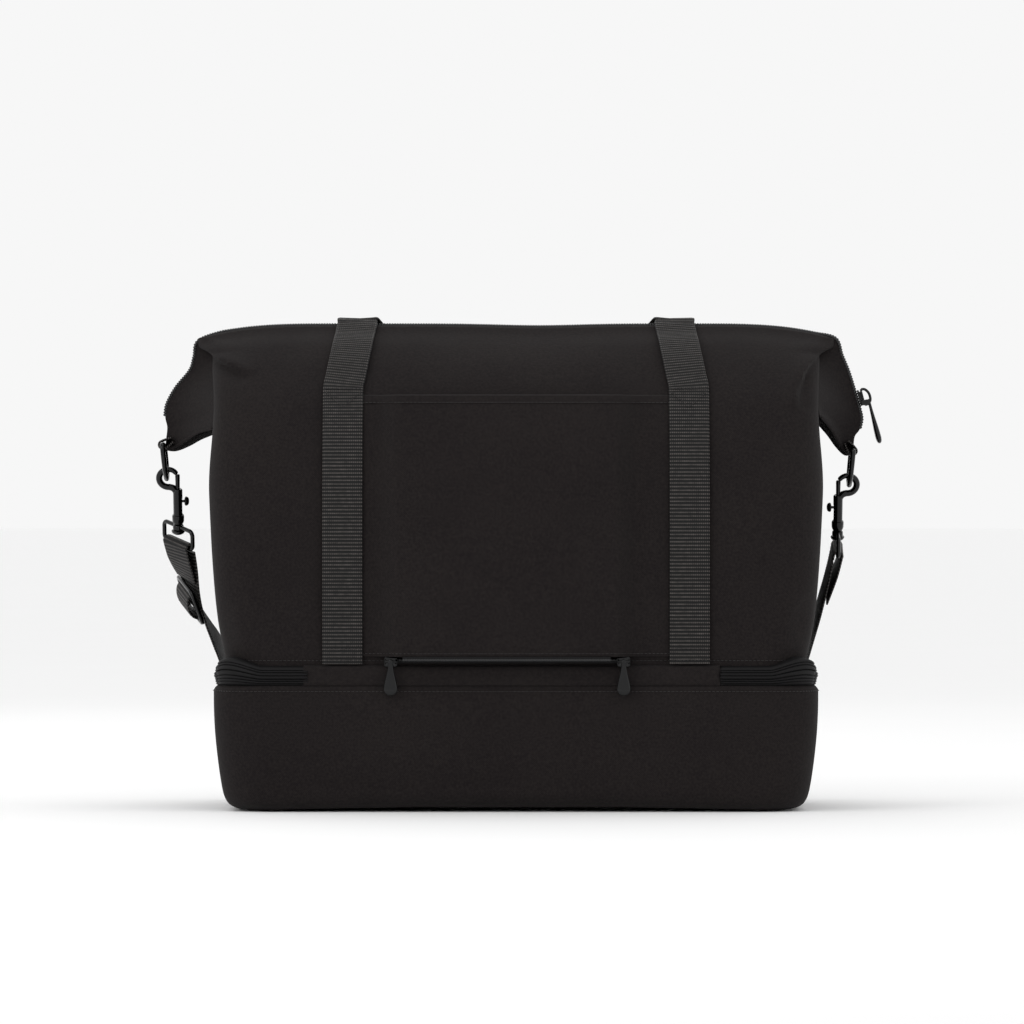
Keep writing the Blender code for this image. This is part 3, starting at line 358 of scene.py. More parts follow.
def stitch_row(line, outward, pitch, thread):
    """Sewing: on every pitch of the line a short thread, thick in the middle, whose ends dip into the
    cloth."""
    line, outward = np.asarray(line, float), np.asarray(outward, float)
    outward = np.broadcast_to(outward, line.shape)
    both, _ = resample(np.hstack([line, outward]), pitch)
    centre, normal = (both[1:, :3] + both[:-1, :3]) / 2, unit(both[1:, 3:] + both[:-1, 3:])
    run = unit(both[1:, :3] - both[:-1, :3])
    side = np.cross(normal, run)
    along = np.array([-0.42, -0.30, 0.0, 0.30, 0.42]) * pitch
    lift = np.array([-0.7, 0.1, 0.45, 0.1, -0.7]) * thread
    fat = np.array([0.35, 0.85, 1.0, 0.85, 0.35]) * thread / 2
    turn = np.linspace(0.0, 2 * np.pi, 6, endpoint=False)
    ring = (normal[:, None, None] * np.sin(turn)[None, None, :, None]
            + side[:, None, None] * np.cos(turn)[None, None, :, None]) * fat[None, :, None, None]
    grid = (centre[:, None, None] + run[:, None, None] * along[None, :, None, None]
            + normal[:, None, None] * lift[None, :, None, None] + ring)
    return [patch(one, rings=True, caps=True) for one in grid]


def webbing(line, across, sizes, width=None, thick=None, pitch=None, height=None):
    """Ribbed band along a smooth curve through the points. Its thickness swells by a raised cosine once in
    each pitch of its length, and its two selvedges are round and plain."""
    width, thick = width or sizes.webbing_width, thick or sizes.webbing
    pitch, height = pitch or sizes.rib_pitch, height or sizes.rib_height
    route = catmull(np.hstack([line, across]))
    route, s = resample(route, pitch / 5)
    centre = route[:, :3]
    _, side, normal = moving_frame(centre, route[:, 3:])
    reach = np.array([-1.0, -0.985, -0.95, -0.88, -0.45, 0.0, 0.45, 0.88, 0.95, 0.985])
    reach = np.concatenate([reach, -reach])
    stand = np.array([0.0, 0.7, 1.0, 1.0, 1.0, 1.0, 1.0, 1.0, 1.0, 0.7])
    stand = np.concatenate([stand, -stand])
    ribbed = np.sign(stand) * (np.abs(reach) < 0.94)
    wave = (0.5 + 0.5 * np.cos(2 * np.pi * s / pitch)) * height
    out = stand[None, :] * thick / 2 + ribbed[None, :] * wave[:, None]
    flat = side[:, None] * (reach * width / 2)[None, :, None]
    grid = centre[:, None] + flat + normal[:, None] * out[..., None]
    reach = np.append(reach, reach[0])
    uv = np.stack(np.broadcast_arrays(s[:, None] / pitch, reach[None, :] * width / 2), -1)
    return patch(grid, rings=True, caps=True, uv=uv)


# ---------------------------------------------------------------- shells of cloth

def ring_weights(corner=14, long_side=84, short_side=30):
    """A rounded rectangle as weights: x = A half_length + R radius and y = B half_depth + S radius, with the
    outward normal of each point in the last two columns. It starts at the rear end of the right side."""
    corners = []
    for side_x, side_y, start in ((1, -1, -90), (1, 1, 0), (-1, 1, 90), (-1, -1, 180)):
        angle = np.radians(start + np.linspace(0.0, 90.0, corner + 1))
        cos, sin = np.cos(angle), np.sin(angle)
        one = np.ones_like(angle)
        corners.append(np.stack([side_x * one, cos - side_x, side_y * one, sin - side_y, cos, sin], 1))
    parts = []
    for i, steps in enumerate((short_side, long_side, short_side, long_side)):
        t = np.linspace(0.0, 1.0, steps + 1)[1:-1, None]
        parts += [corners[i], corners[i][-1] * (1 - t) + corners[(i + 1) % 4][0] * t]
    return np.vstack(parts)


def shell_grid(levels, weights, rows, radius=CORNER_RADIUS):
    """Rings of a shell at equal steps along its rear outline, and each ring point's place in the flat
    cloth."""
    levels = np.asarray(levels, float)
    outline = catmull(np.stack([levels[:, 2], levels[:, 1], levels[:, 0]], 1), 16)
    step = distances(outline)[-1] / rows
    outline, s = resample(outline, step)
    b, a, z = outline.T
    r = np.minimum(radius, 0.96 * b)
    big_a, big_r, big_b, big_s = weights[:, :4].T
    x = a[:, None] * big_a + r[:, None] * big_r
    y = b[:, None] * big_b + r[:, None] * big_s
    grid = np.stack([x, y, np.broadcast_to(z[:, None], x.shape)], -1)
    middle = grid[len(grid) // 3]
    around = distances(np.vstack([middle, middle[:1]]))
    uv = np.stack(np.broadcast_arrays(around[None, :], s[:, None]), -1)
    return grid, uv


def seam_stitches(levels, height, sizes):
    """One row of stitches all round a shell at a height, sunk in the cloth."""
    weights = ring_weights()
    level, _ = shell_grid(levels, weights, 200)
    row = level[np.argmin(np.abs(level[:, 0, 2] - height))]
    outward = np.hstack([weights[:, 4:6], np.zeros((len(weights), 1))])
    row, outward = np.vstack([row, row[:1]]), np.vstack([outward, outward[:1]])
    return stitch_row(row + outward * 0.0002, outward, sizes.stitch, sizes.thread)


def depth_at(z):
    """Half depth of the main compartment at a height."""
    curve = catmull(UPPER_LEVELS, 16)
    return np.interp(z, curve[:, 0], curve[:, 2])


def face_points(x, z, stand, front=False):
    """Points of the front or rear face at their own heights, off it by a distance square to it."""
    slope = (depth_at(z + 5e-4) - depth_at(z - 5e-4)) / 1e-3
    away = depth_at(z) + stand * np.sqrt(1 + slope ** 2)
    return np.stack(np.broadcast_arrays(x, away if front else -away, z), -1)


def crease(x, z, points, depth, width, ledge=False):
    """A fold along a line: its depth fades with a bell curve of that width to both sides and towards the
    line's ends. A ledge stands out on its upper side and falls in on its lower one."""
    points = np.asarray(points, float)
    line = catmull(points, 6)
    near, along, above = np.full(x.shape, 1e9), np.zeros(x.shape), np.zeros(x.shape)
    for i in range(len(line) - 1):
        start, run = line[i], line[i + 1] - line[i]
        t = np.clip(((x - start[0]) * run[0] + (z - start[1]) * run[1]) / (run @ run), 0.0, 1.0)
        dx, dz = x - start[0] - t * run[0], z - start[1] - t * run[1]
        d = np.hypot(dx, dz)
        closer = d < near
        near = np.where(closer, d, near)
        along = np.where(closer, (i + t) / (len(line) - 1), along)
        above = np.where(closer, np.sign(dz), above)
    fade = np.sin(np.pi * np.clip(along, 0.0, 1.0)) ** 0.6
    bell = np.exp(-(near / width) ** 2)
    if ledge:
        return depth * fade * bell * above * np.minimum(1.0, near / (0.35 * width))
    return depth * fade * bell


def ripple(x, z, seed):
    """Slow swell of slack cloth: five waves of different lengths and directions, the same at each run."""
    draw = np.random.default_rng(seed)
    total = np.zeros(np.broadcast(x, z).shape)
    for _ in range(5):
        angle, length, phase = draw.uniform(0, np.pi), draw.uniform(0.06, 0.17), draw.uniform(0, 2 * np.pi)
        total = total + np.sin(2 * np.pi * (x * np.cos(angle) + z * np.sin(angle)) / length + phase)
    return total / 5


# ---------------------------------------------------------------- finishes

def add_node(tree, kind, inputs=None, **settings):
    """Adds a node. settings are its own properties; inputs are its sockets, each a value or another's
    output."""
    made = tree.nodes.new(kind)
    for key, value in settings.items():
        setattr(made, key, value)
    for key, value in (inputs or {}).items():
        if isinstance(value, bpy.types.NodeSocket):
            tree.links.new(value, made.inputs[key])
        else:
            made.inputs[key].default_value = value
    return made


def new_finish(name, roughness, metallic=0.0, **fixed):
    """An empty material with its shader; fixed are sockets that are the same all over."""
    found = bpy.data.materials.get(name)
    if found:
        bpy.data.materials.remove(found)
    made = bpy.data.materials.new(name)
    made.use_nodes = True
    shader = made.node_tree.nodes["Principled BSDF"]
    shader.inputs["Roughness"].default_value = roughness
    shader.inputs["Metallic"].default_value = metallic
    for key, value in fixed.items():
        shader.inputs[key.replace("_", " ").title().replace("Ior", "IOR")].default_value = value
    return made, made.node_tree, shader


def rgba(colour):
    return (*colour, 1.0)


def thread_waves(tree, place, across, along):
    """Height of crossing threads: the product of two sine waves, one for each direction of the cloth."""
    split = add_node(tree, "ShaderNodeSeparateXYZ", {0: place})
    waves = []
    for axis, spacing in (("X", across), ("Y", along)):
        turn = add_node(tree, "ShaderNodeMath", {0: split.outputs[axis], 1: 2 * math.pi / spacing},
                        operation="MULTIPLY")
        waves.append(add_node(tree, "ShaderNodeMath", {0: turn.outputs[0]}, operation="SINE").outputs[0])
    product = add_node(tree, "ShaderNodeMath", {0: waves[0], 1: waves[1]}, operation="MULTIPLY")
    return product.outputs[0]


def woven_canvas(colours):
    """Cotton canvas, plain weave: matt, with a faint salt-and-pepper grain of lighter threads. Its threads
    are 0.5 mm apart; they are drawn at 1.7 mm, the finest that shows at this distance."""
    made, tree, shader = new_finish("Woven Cotton Canvas", 0.88, sheen_weight=0.02, sheen_roughness=0.5,
                                    specular_ior_level=0.15)
    place = add_node(tree, "ShaderNodeUVMap", uv_map="Cloth").outputs[0]
    weave = thread_waves(tree, place, 0.0017, 0.0017)
    solid = add_node(tree, "ShaderNodeTexCoord").outputs["Object"]
    slub = add_node(tree, "ShaderNodeTexNoise",
                    {"Vector": solid, "Scale": 520.0, "Detail": 3.0}).outputs["Fac"]
    cloud = add_node(tree, "ShaderNodeTexNoise",
                     {"Vector": solid, "Scale": 14.0, "Detail": 2.0}).outputs["Fac"]
    grain = add_node(tree, "ShaderNodeMath", {0: weave, 1: 0.16, 2: slub},
                     operation="MULTIPLY_ADD").outputs[0]
    mixed = add_node(tree, "ShaderNodeMath", {0: cloud, 1: 0.35, 2: grain},
                     operation="MULTIPLY_ADD").outputs[0]
    share = add_node(tree, "ShaderNodeMapRange", {0: mixed, 1: 0.42, 2: 0.95}).outputs[0]
    tone = add_node(tree, "ShaderNodeMix", {0: share, 6: rgba(colours.canvas),
                                            7: rgba(colours.canvas_light)}, data_type="RGBA")
    tree.links.new(tone.outputs[2], shader.inputs["Base Color"])
    bump = add_node(tree, "ShaderNodeBump", {"Height": grain, "Distance": 0.00022, "Strength": 0.75})
    tree.links.new(bump.outputs[0], shader.inputs["Normal"])
    return made


def nylon_webbing(colours):
    """Nylon webbing: black nylon with a painted highlight on its ribs, as rows of small bright bundles, and
    painted shade in the gaps between them. Along its length the cloth place counts ribs; across it the
    bundles are 1.6 mm apart."""
    made, tree, shader = new_finish("Ribbed Nylon Webbing", 0.55, specular_ior_level=0.25)
    place = add_node(tree, "ShaderNodeUVMap", uv_map="Cloth").outputs[0]
    split = add_node(tree, "ShaderNodeSeparateXYZ", {0: place})
    turn = add_node(tree, "ShaderNodeMath", {0: split.outputs["X"], 1: 2 * math.pi}, operation="MULTIPLY")
    rib = add_node(tree, "ShaderNodeMath", {0: turn.outputs[0]}, operation="COSINE").outputs[0]
    across = add_node(tree, "ShaderNodeMath", {0: split.outputs["Y"], 1: 2 * math.pi / 0.0016},
                      operation="MULTIPLY")
    bundle = add_node(tree, "ShaderNodeMath", {0: across.outputs[0]}, operation="SINE").outputs[0]
    solid = add_node(tree, "ShaderNodeTexCoord").outputs["Object"]
    # Noise that makes the painted highlight on the ribs uneven
    highlight_noise = add_node(tree, "ShaderNodeTexNoise",
                    {"Vector": solid, "Scale": 260.0, "Detail": 2.0}).outputs["Fac"]
    height = add_node(tree, "ShaderNodeMath", {0: bundle, 1: 0.22, 2: rib},
                      operation="MULTIPLY_ADD").outputs[0]
    # Where the painted highlight falls: on the rib tops, broken into bundles across the band; the rest keeps
    # the painted shade of the gaps
    highlight_dots = add_node(tree, "ShaderNodeMath", {0: bundle, 1: 0.55, 2: rib}, operation="MULTIPLY_ADD").outputs[0]
    lit = add_node(tree, "ShaderNodeMath", {0: highlight_noise, 1: 1.1, 2: highlight_dots}, operation="MULTIPLY_ADD").outputs[0]
    share = add_node(tree, "ShaderNodeMapRange", {0: lit, 1: 0.85, 2: 2.15}).outputs[0]
    tone = add_node(tree, "ShaderNodeMix", {0: share, 6: rgba(colours.webbing), 7: rgba(colours.webbing_rib_highlight)},
                    data_type="RGBA")
    tree.links.new(tone.outputs[2], shader.inputs["Base Color"])
    bump = add_node(tree, "ShaderNodeBump", {"Height": height, "Distance": 0.00025, "Strength": 0.7})
    tree.links.new(bump.outputs[0], shader.inputs["Normal"])
    return made


def polyester_tape(colours):
    """Woven polyester zip tape: darker and smoother than the canvas, with a fine herringbone 1.2 mm wide."""
    made, tree, shader = new_finish("Polyester Zip Tape", 0.62, specular_ior_level=0.2)
    solid = add_node(tree, "ShaderNodeTexCoord").outputs["Object"]
    twill = add_node(tree, "ShaderNodeTexWave",
                     {"Vector": solid, "Scale": 160.0, "Distortion": 1.0, "Detail": 1.0},
                     bands_direction="DIAGONAL").outputs["Fac"]
    tone = add_node(tree, "ShaderNodeMix", {0: twill, 6: rgba(colours.zip_tape),
                                            7: rgba([1.5 * c for c in colours.zip_tape])}, data_type="RGBA")
    tree.links.new(tone.outputs[2], shader.inputs["Base Color"])
    bump = add_node(tree, "ShaderNodeBump", {"Height": twill, "Distance": 0.0001, "Strength": 0.4})
    tree.links.new(bump.outputs[0], shader.inputs["Normal"])
    return made


def nylon_coil(colours):
    """Nylon monofilament of a coil zip: black, half gloss, slightly uneven from the die."""
    made, tree, shader = new_finish("Nylon Zip Coil", 0.45, ior=1.53)
    solid = add_node(tree, "ShaderNodeTexCoord").outputs["Object"]
    drawn = add_node(tree, "ShaderNodeTexNoise", {"Vector": solid, "Scale": 900.0}).outputs["Fac"]
    tone = add_node(tree, "ShaderNodeMix", {0: drawn, 6: rgba(colours.zip_coil),
                                            7: rgba([2.0 * c for c in colours.zip_coil])}, data_type="RGBA")
    tree.links.new(tone.outputs[2], shader.inputs["Base Color"])
    return made


def plated_zinc(colours):
    """Die-cast zinc, plated black and lacquered: dark metal under a glossy clear coat that gives sharp
    lights, with a little orange peel and finer scratches where it is handled."""
    made, tree, shader = new_finish("Black Plated Zinc", 0.30, metallic=1.0, coat_weight=0.6,
                                    coat_roughness=0.05)
    solid = add_node(tree, "ShaderNodeTexCoord").outputs["Object"]
    peel = add_node(tree, "ShaderNodeTexNoise",
                    {"Vector": solid, "Scale": 700.0, "Detail": 2.0}).outputs["Fac"]
    rub = add_node(tree, "ShaderNodeTexNoise",
                   {"Vector": solid, "Scale": 160.0, "Detail": 4.0}).outputs["Fac"]
    rough = add_node(tree, "ShaderNodeMapRange", {0: rub, 3: 0.22, 4: 0.40}).outputs[0]
    tone = add_node(tree, "ShaderNodeMix", {0: rub, 6: rgba(colours.metal),
                                            7: rgba([1.7 * c for c in colours.metal])}, data_type="RGBA")
    tree.links.new(tone.outputs[2], shader.inputs["Base Color"])
    tree.links.new(rough, shader.inputs["Roughness"])
    bump = add_node(tree, "ShaderNodeBump", {"Height": peel, "Distance": 0.00004, "Strength": 0.25})
    tree.links.new(bump.outputs[0], shader.inputs["Normal"])
    return made


def sewing_thread(colours):
    """Bonded polyester thread: a twist of plies, slightly shiny."""
    made, tree, shader = new_finish("Polyester Thread", 0.48, specular_ior_level=0.3)
    solid = add_node(tree, "ShaderNodeTexCoord").outputs["Object"]
    plies = add_node(tree, "ShaderNodeTexWave", {"Vector": solid, "Scale": 420.0, "Distortion": 0.5},
                     bands_direction="DIAGONAL").outputs["Fac"]
    tone = add_node(tree, "ShaderNodeMix", {0: plies, 6: rgba(colours.thread),
                                            7: rgba([2.2 * c for c in colours.thread])}, data_type="RGBA")
    tree.links.new(tone.outputs[2], shader.inputs["Base Color"])
    return made


def lining_cloth(colours):
    """Plain polyester lining over a board: smooth, matt, with a fine even grain."""
    made, tree, shader = new_finish("Polyester Lining", 0.78)
    solid = add_node(tree, "ShaderNodeTexCoord").outputs["Object"]
    grain = add_node(tree, "ShaderNodeTexNoise",
                     {"Vector": solid, "Scale": 700.0, "Detail": 2.0}).outputs["Fac"]
    tone = add_node(tree, "ShaderNodeMix", {0: grain, 6: rgba(colours.lining),
                                            7: rgba([1.5 * c for c in colours.lining])}, data_type="RGBA")
    tree.links.new(tone.outputs[2], shader.inputs["Base Color"])
    bump = add_node(tree, "ShaderNodeBump", {"Height": grain, "Distance": 0.0001, "Strength": 0.4})
    tree.links.new(bump.outputs[0], shader.inputs["Normal"])
    return made


def matt_paint(colours):
    """Studio floor: matt white paint, rolled, with a very slight unevenness."""
    made, tree, shader = new_finish("Matt Studio Paint", 0.9)
    solid = add_node(tree, "ShaderNodeTexCoord").outputs["Object"]
    rolled = add_node(tree, "ShaderNodeTexNoise", {"Vector": solid, "Scale": 3.0}).outputs["Fac"]
    brighter = [min(1.0, 1.02 * c) for c in colours.floor]
    tone = add_node(tree, "ShaderNodeMix", {0: rolled, 6: rgba(colours.floor), 7: rgba(brighter)},
                    data_type="RGBA")
    tree.links.new(tone.outputs[2], shader.inputs["Base Color"])
    return made


FINISHES = {
    "canvas": woven_canvas, "webbing": nylon_webbing, "zip_tape": polyester_tape, "zip_teeth": nylon_coil,
    "black_metal": plated_zinc, "thread": sewing_thread, "lining": lining_cloth, "floor": matt_paint,
}
MADE = {}


def finish(name):
    """The material of one finish, made the first time that it is asked for."""
    if name not in MADE:
        MADE[name] = FINISHES[name](bpy.context.scene.bag_colours)
    return MADE[name]


# ---------------------------------------------------------------- stage

CAMERA_LENS = 250.0
CAMERA_SENSOR = 36.0
VIEW_WIDTH = 0.809
VIEW_CENTRE = Vector((-0.0032, -0.105, 0.237))
FLOOR_HALF = 120.0
FLOOR_GAP = 0.0003


def area_light(name, place, target, width, height, power):
    lamp = bpy.data.lights.new(name, "AREA")
    lamp.shape = "RECTANGLE"
    lamp.size, lamp.size_y = width, height
    lamp.energy = power
    made = bpy.data.objects.new(name, lamp)
    made.location = place
    made.rotation_euler = (Vector(target) - Vector(place)).to_track_quat("-Z", "Y").to_euler()
    bpy.context.scene.collection.objects.link(made)
    return made


class BAG_OT_stage(bpy.types.Operator):
    """Makes the floor, the plain white world, the lights and the camera"""
    bl_idname = "bag.stage"
    bl_label = "Stage"

    def execute(self, context):
        scene = context.scene
        edge = np.linspace(-FLOOR_HALF, FLOOR_HALF, 9)
        grid = np.stack(np.broadcast_arrays(edge[None, :], edge[:, None], -FLOOR_GAP), -1)
        floor = make_piece("studio_floor", [patch(grid)], finish("floor"))
        world = bpy.data.worlds.new("studio")
        world.use_nodes = True
        world.node_tree.nodes["Background"].inputs["Color"].default_value = (1.0, 1.0, 1.0, 1.0)
        world.node_tree.nodes["Background"].inputs["Strength"].default_value = 0.93
        scene.world = world
        area_light("soft_box_left", (-1.9, -2.0, 1.5), (0.0, 0.0, 0.22), 1.2, 1.2, 13.0)
        area_light("soft_box_top", (0.0, -0.3, 2.3), (0.0, 0.0, 0.2), 1.8, 1.2, 5.0)
        area_light("soft_box_right", (2.4, -1.6, 1.0), (0.0, 0.0, 0.22), 0.8, 1.4, 1.5)
        area_light("soft_box_behind", (-0.8, 2.2, 1.6), (0.0, 0.0, 0.2), 1.6, 1.2, 4.0)
        lens = bpy.data.cameras.new("camera")
        lens.lens, lens.sensor_width = CAMERA_LENS, CAMERA_SENSOR
        lens.clip_end = 100.0
        camera = bpy.data.objects.new("camera", lens)
        distance = CAMERA_LENS / CAMERA_SENSOR * VIEW_WIDTH
        camera.location = VIEW_CENTRE - Vector((0.0, distance, 0.0))
        camera.rotation_euler = (math.pi / 2, 0.0, 0.0)
        scene.collection.objects.link(camera)
        scene.camera = camera
        scene.view_settings.view_transform = "Standard"
        return {"FINISHED"}


# ---------------------------------------------------------------- main compartment

REAR_FOLDS = (
    # points as x and z, share of the fold depth, width, and whether it is a ledge
    (((-0.2560, 0.3720), (-0.2440, 0.3640), (-0.2300, 0.3550), (-0.2120, 0.3440)), 2.6, 0.0095, True),
    (((0.2560, 0.3740), (0.2440, 0.3640), (0.2330, 0.3520), (0.2260, 0.3350), (0.2240, 0.3180)), 2.2,
     0.0100, True),
    (((-0.2370, 0.1700), (-0.2300, 0.1500), (-0.2240, 0.1300)), -0.9, 0.0070, False),
    (((-0.2300, 0.1560), (-0.2180, 0.1400), (-0.2060, 0.1240)), 0.5, 0.0100, False),
    (((0.2340, 0.1740), (0.2260, 0.1500), (0.2310, 0.1270)), -0.9, 0.0075, False),
    (((0.2320, 0.1900), (0.2150, 0.1640), (0.2050, 0.1300)), 0.6, 0.0110, False),
    (((0.1900, 0.2000), (0.2080, 0.1880), (0.2260, 0.1720)), -0.7, 0.0140, False),
    (((-0.1900, 0.3700), (-0.1720, 0.3560), (-0.1600, 0.3360)), -0.30, 0.0140, False),
    (((0.1700, 0.3720), (0.1850, 0.3560), (0.1920, 0.3300)), -0.30, 0.0140, False),
    (((-0.1000, 0.3780), (0.0000, 0.3710), (0.0950, 0.3770)), -0.25, 0.0080, False),
)
FRONT_FOLDS = (
    (((-0.2540, 0.3720), (-0.2400, 0.3620), (-0.2260, 0.3480)), 1.3, 0.0080, True),
    (((0.2540, 0.3720), (0.2400, 0.3620), (0.2260, 0.3480)), 1.3, 0.0080, True),
    (((-0.2320, 0.1800), (-0.2180, 0.1520), (-0.2100, 0.1270)), -0.8, 0.0090, False),
    (((0.2320, 0.1820), (0.2160, 0.1540), (0.2100, 0.1270)), -0.8, 0.0090, False),
    (((-0.0900, 0.1260), (-0.0300, 0.1400), (0.0400, 0.1300)), -0.5, 0.0140, False),
    (((-0.1900, 0.3000), (-0.1750, 0.2500), (-0.1800, 0.2000)), -0.4, 0.0170, False),
    (((0.1850, 0.3100), (0.1780, 0.2600), (0.1850, 0.2100)), -0.4, 0.0170, False),
)


def ridge_droop(x):
    """How far the ridge hangs: a cubic fall towards its two corners, and a shallow bell-shaped dip in its
    middle."""
    fall = 0.0105 * np.clip((np.abs(x) - 0.150) / 0.106, 0.0, 1.0) ** 3
    return fall + 0.0014 * np.exp(-((x - 0.018) / 0.045) ** 2)


def relief(x, z, folds, depth, seed, swell=0.0010):
    """Height of the slack cloth over its plain shape: its slow swell and all its folds."""
    total = ripple(x, z, seed) * swell
    for points, share, width, ledge in folds:
        total = total + crease(x, z, points, share * depth, width, ledge)
    return total


class BAG_OT_main_compartment(bpy.types.Operator):
    """Makes the slack canvas shell of the main compartment"""
    bl_idname = "bag.main_compartment"
    bl_label = "Main Compartment"

    def execute(self, context):
        sizes = context.scene.bag_sizes
        weights = ring_weights(corner=16, long_side=110, short_side=36)
        grid, uv = shell_grid(UPPER_LEVELS, weights, 120)
        normal = np.stack([weights[:, 4], weights[:, 5]], -1)
        x, y, z = grid[..., 0], grid[..., 1], grid[..., 2]
        rear, front = np.clip(-normal[:, 1], 0, 1) ** 2, np.clip(normal[:, 1], 0, 1) ** 2
        end = normal[:, 0] ** 2
        out = rear * relief(x, z, REAR_FOLDS, sizes.cloth_fold, 3)
        out = out + front * relief(x, z, FRONT_FOLDS, sizes.cloth_fold, 5)
        half = depth_at(z)
        hollow = np.clip(1 - (y / half) ** 2, 0, 1)
        sink = smooth(z, 0.25, 0.335) * (1 - smooth(z, 0.365, 0.380)) * 0.010
        out = out + end * (ripple(y, z, 9) * 0.0010 - sink * hollow)
        edge = smooth(z, 0.1150, 0.1250) * (1 - smooth(z, 0.372, 0.384))
        grid[..., :2] += normal[None] * (out * edge)[..., None]
        top = smooth(z, 0.330, 0.385)
        grid[..., 2] += top * (0.0020 - ridge_droop(x))
        make_piece("main_compartment", [patch(grid, rings=True, uv=uv)], finish("canvas"), "upper",
                   ("main_shell",), wall=CANVAS)
        divider = bpy.data.objects["divider"]
        divider.data.materials.clear()
        divider.data.materials.append(finish("lining"))
        make_piece("main_seam_stitches", seam_stitches(UPPER_LEVELS, MAIN_SEAM, sizes), finish("thread"),
                   "upper")
        return {"FINISHED"}


# ---------------------------------------------------------------- side wings and the top zip

def wing_lines(name):
    """The zipped edge and the lower edge of a wing as smooth curves of (x outwards, z), 60 equal steps
    each."""
    share = np.linspace(0.0, 1.0, 61)
    found = []
    for points in (WING_EDGE[name], WING_LOW[name]):
        line = catmull(points, 12)
        line = np.hstack([line, np.zeros((len(line), 1))])
        found.append(at_distance(line, share * distances(line)[-1])[:, :2])
    return found


def wing_grid(name, side, sign, drop):
    """One layer of a wing. Rows go down the zipped edge and columns from the bag's side out to that edge: a
    point is on the straight line between the two, sucked in by a sine, and the last rows bend to the lower
    edge."""
    edge, low = wing_lines(name)
    share = np.linspace(0.0, 1.0, len(edge))
    across = np.linspace(0.0, 1.0, 33)
    inner_z = edge[0, 1] - 0.006 + (low[-1, 1] - edge[0, 1] + 0.006) * share
    heights, half_lengths, _ = np.array(UPPER_LEVELS).T
    inner_x = np.interp(inner_z, heights, half_lengths) - 0.009
    inner_y = 0.60 * depth_at(inner_z) * smooth(share, -0.25, 0.75)
    t = across[None, :]
    x = inner_x[:, None] * (1 - t) + edge[:, :1] * t
    z = inner_z[:, None] * (1 - t) + edge[:, 1:] * t
    y = inner_y[:, None] * (1 - t) ** 1.25 + 0.0013
    corner = low[::-1]
    lower = np.stack([np.interp(across, share, corner[:, 0]), np.interp(across, share, corner[:, 1])], -1)
    pull = (share ** 5)[:, None]
    x = x + pull * (lower[None, :, 0] - x[-1:])
    z = z + pull * (lower[None, :, 1] - z[-1:] - drop * np.sin(np.pi * t) ** 0.7)
    suck = np.sin(np.pi * t) * smooth(share, 0.05, 0.6)[:, None] * 0.0035
    slack = ripple(x * 2.2, z * 2.2, 11 if side < 0 else 12) * np.sin(np.pi * t)
    y = np.maximum(0.0012, y - suck) + 0.0007 * slack
    grid = np.stack([side * x, sign * np.maximum(y, 0.0011), z], -1)
    uv = np.stack(np.broadcast_arrays(t * 0.05, share[:, None] * 0.09), -1)
    return grid, uv


class BAG_OT_wings(bpy.types.Operator):
    """Makes the folded side wings, their hems and the tabs that hold the D-rings"""
    bl_idname = "bag.wings"
    bl_label = "Side Wings"

    def execute(self, context):
        sizes = context.scene.bag_sizes
        for name, side in SIDES:
            layers = [wing_grid(name, side, sign, drop) for sign, drop in ((-1, 0.0), (1, 0.0042))]
            patches = [patch(grid, uv=uv) for grid, uv in layers]
            rear, front = layers[0][0], layers[1][0]
            joined = np.stack([rear[:, -1], front[:, -1]], 1)
            patches.append(patch(joined))
            t = np.linspace(0.0, 1.0, 9)[:, None, None]
            under = rear[-1][None] * (1 - t) + front[-1][None] * t
            arch = np.sin(np.pi * t) * np.abs(front[-1, :, 1] - rear[-1, :, 1])[None, :, None] * 0.16
            under[..., 2:] += arch
            patches.append(patch(under))
            make_piece(f"side_wing_{name}", patches, finish("canvas"), "upper", (f"wing_{name}",),
                       wall=0.0009)
            hems = [tube(layer[-1, 2:] + (0.0, 0.0, 0.0004), 0.0013, (0.0, 1.0, 0.0), sides=10)
                    for layer in (rear, front)]
            make_piece(f"wing_hem_{name}", hems, finish("canvas"), "upper")
            self.make_tab(name, side, sizes)
        return {"FINISHED"}

    def make_tab(self, name, side, sizes):
        """A short webbing loop: straight down from the wing's tip, half a turn round the ring's bar, and
        back."""
        ring = RINGS[name]
        centre = np.array([ring[0], 0.0, ring[2]])
        tip = np.array([side * (WING_LOW[name][1][0] + 0.001), 0.0, WING_LOW[name][1][1] + 0.006])
        toward = unit(tip - centre)
        normal = np.array([-toward[2], 0.0, toward[0]])
        radius = RING_WIRE + 0.0011
        angle = np.radians(np.linspace(90.0, 270.0, 9))[:, None]
        bend = centre + toward * radius * np.cos(angle) + normal * radius * np.sin(angle)
        reach = toward * 0.0085
        pinch = normal * radius * 0.55
        line = np.vstack([centre + reach + pinch, centre + reach * 0.5 + normal * radius * 0.9, bend,
                          centre + reach * 0.5 - normal * radius * 0.9, centre + reach - pinch])
        across = np.broadcast_to((0.0, 1.0, 0.0), line.shape)
        band = webbing(line, across, sizes, width=0.025, thick=0.0014, pitch=0.0018, height=0.00012)
        make_piece(f"wing_tab_{name}", [band], finish("webbing"), "upper", (f"ring_tab_{name}",))


def ridge_line():
    """The closed top zip seen from the side: down along the left wing, over the ridge and down the right
    one."""
    left = [(-x, z) for x, z in WING_EDGE["left"][::-1] if z > WING_ZIP_END["left"]]
    right = [(x, z) for x, z in WING_EDGE["right"] if z > WING_ZIP_END["right"]]
    crest = [(x, RIDGE_Z - ridge_droop(x)) for x in np.linspace(-0.240, 0.240, 25)]
    return catmull([*left, *crest, *right], 16)


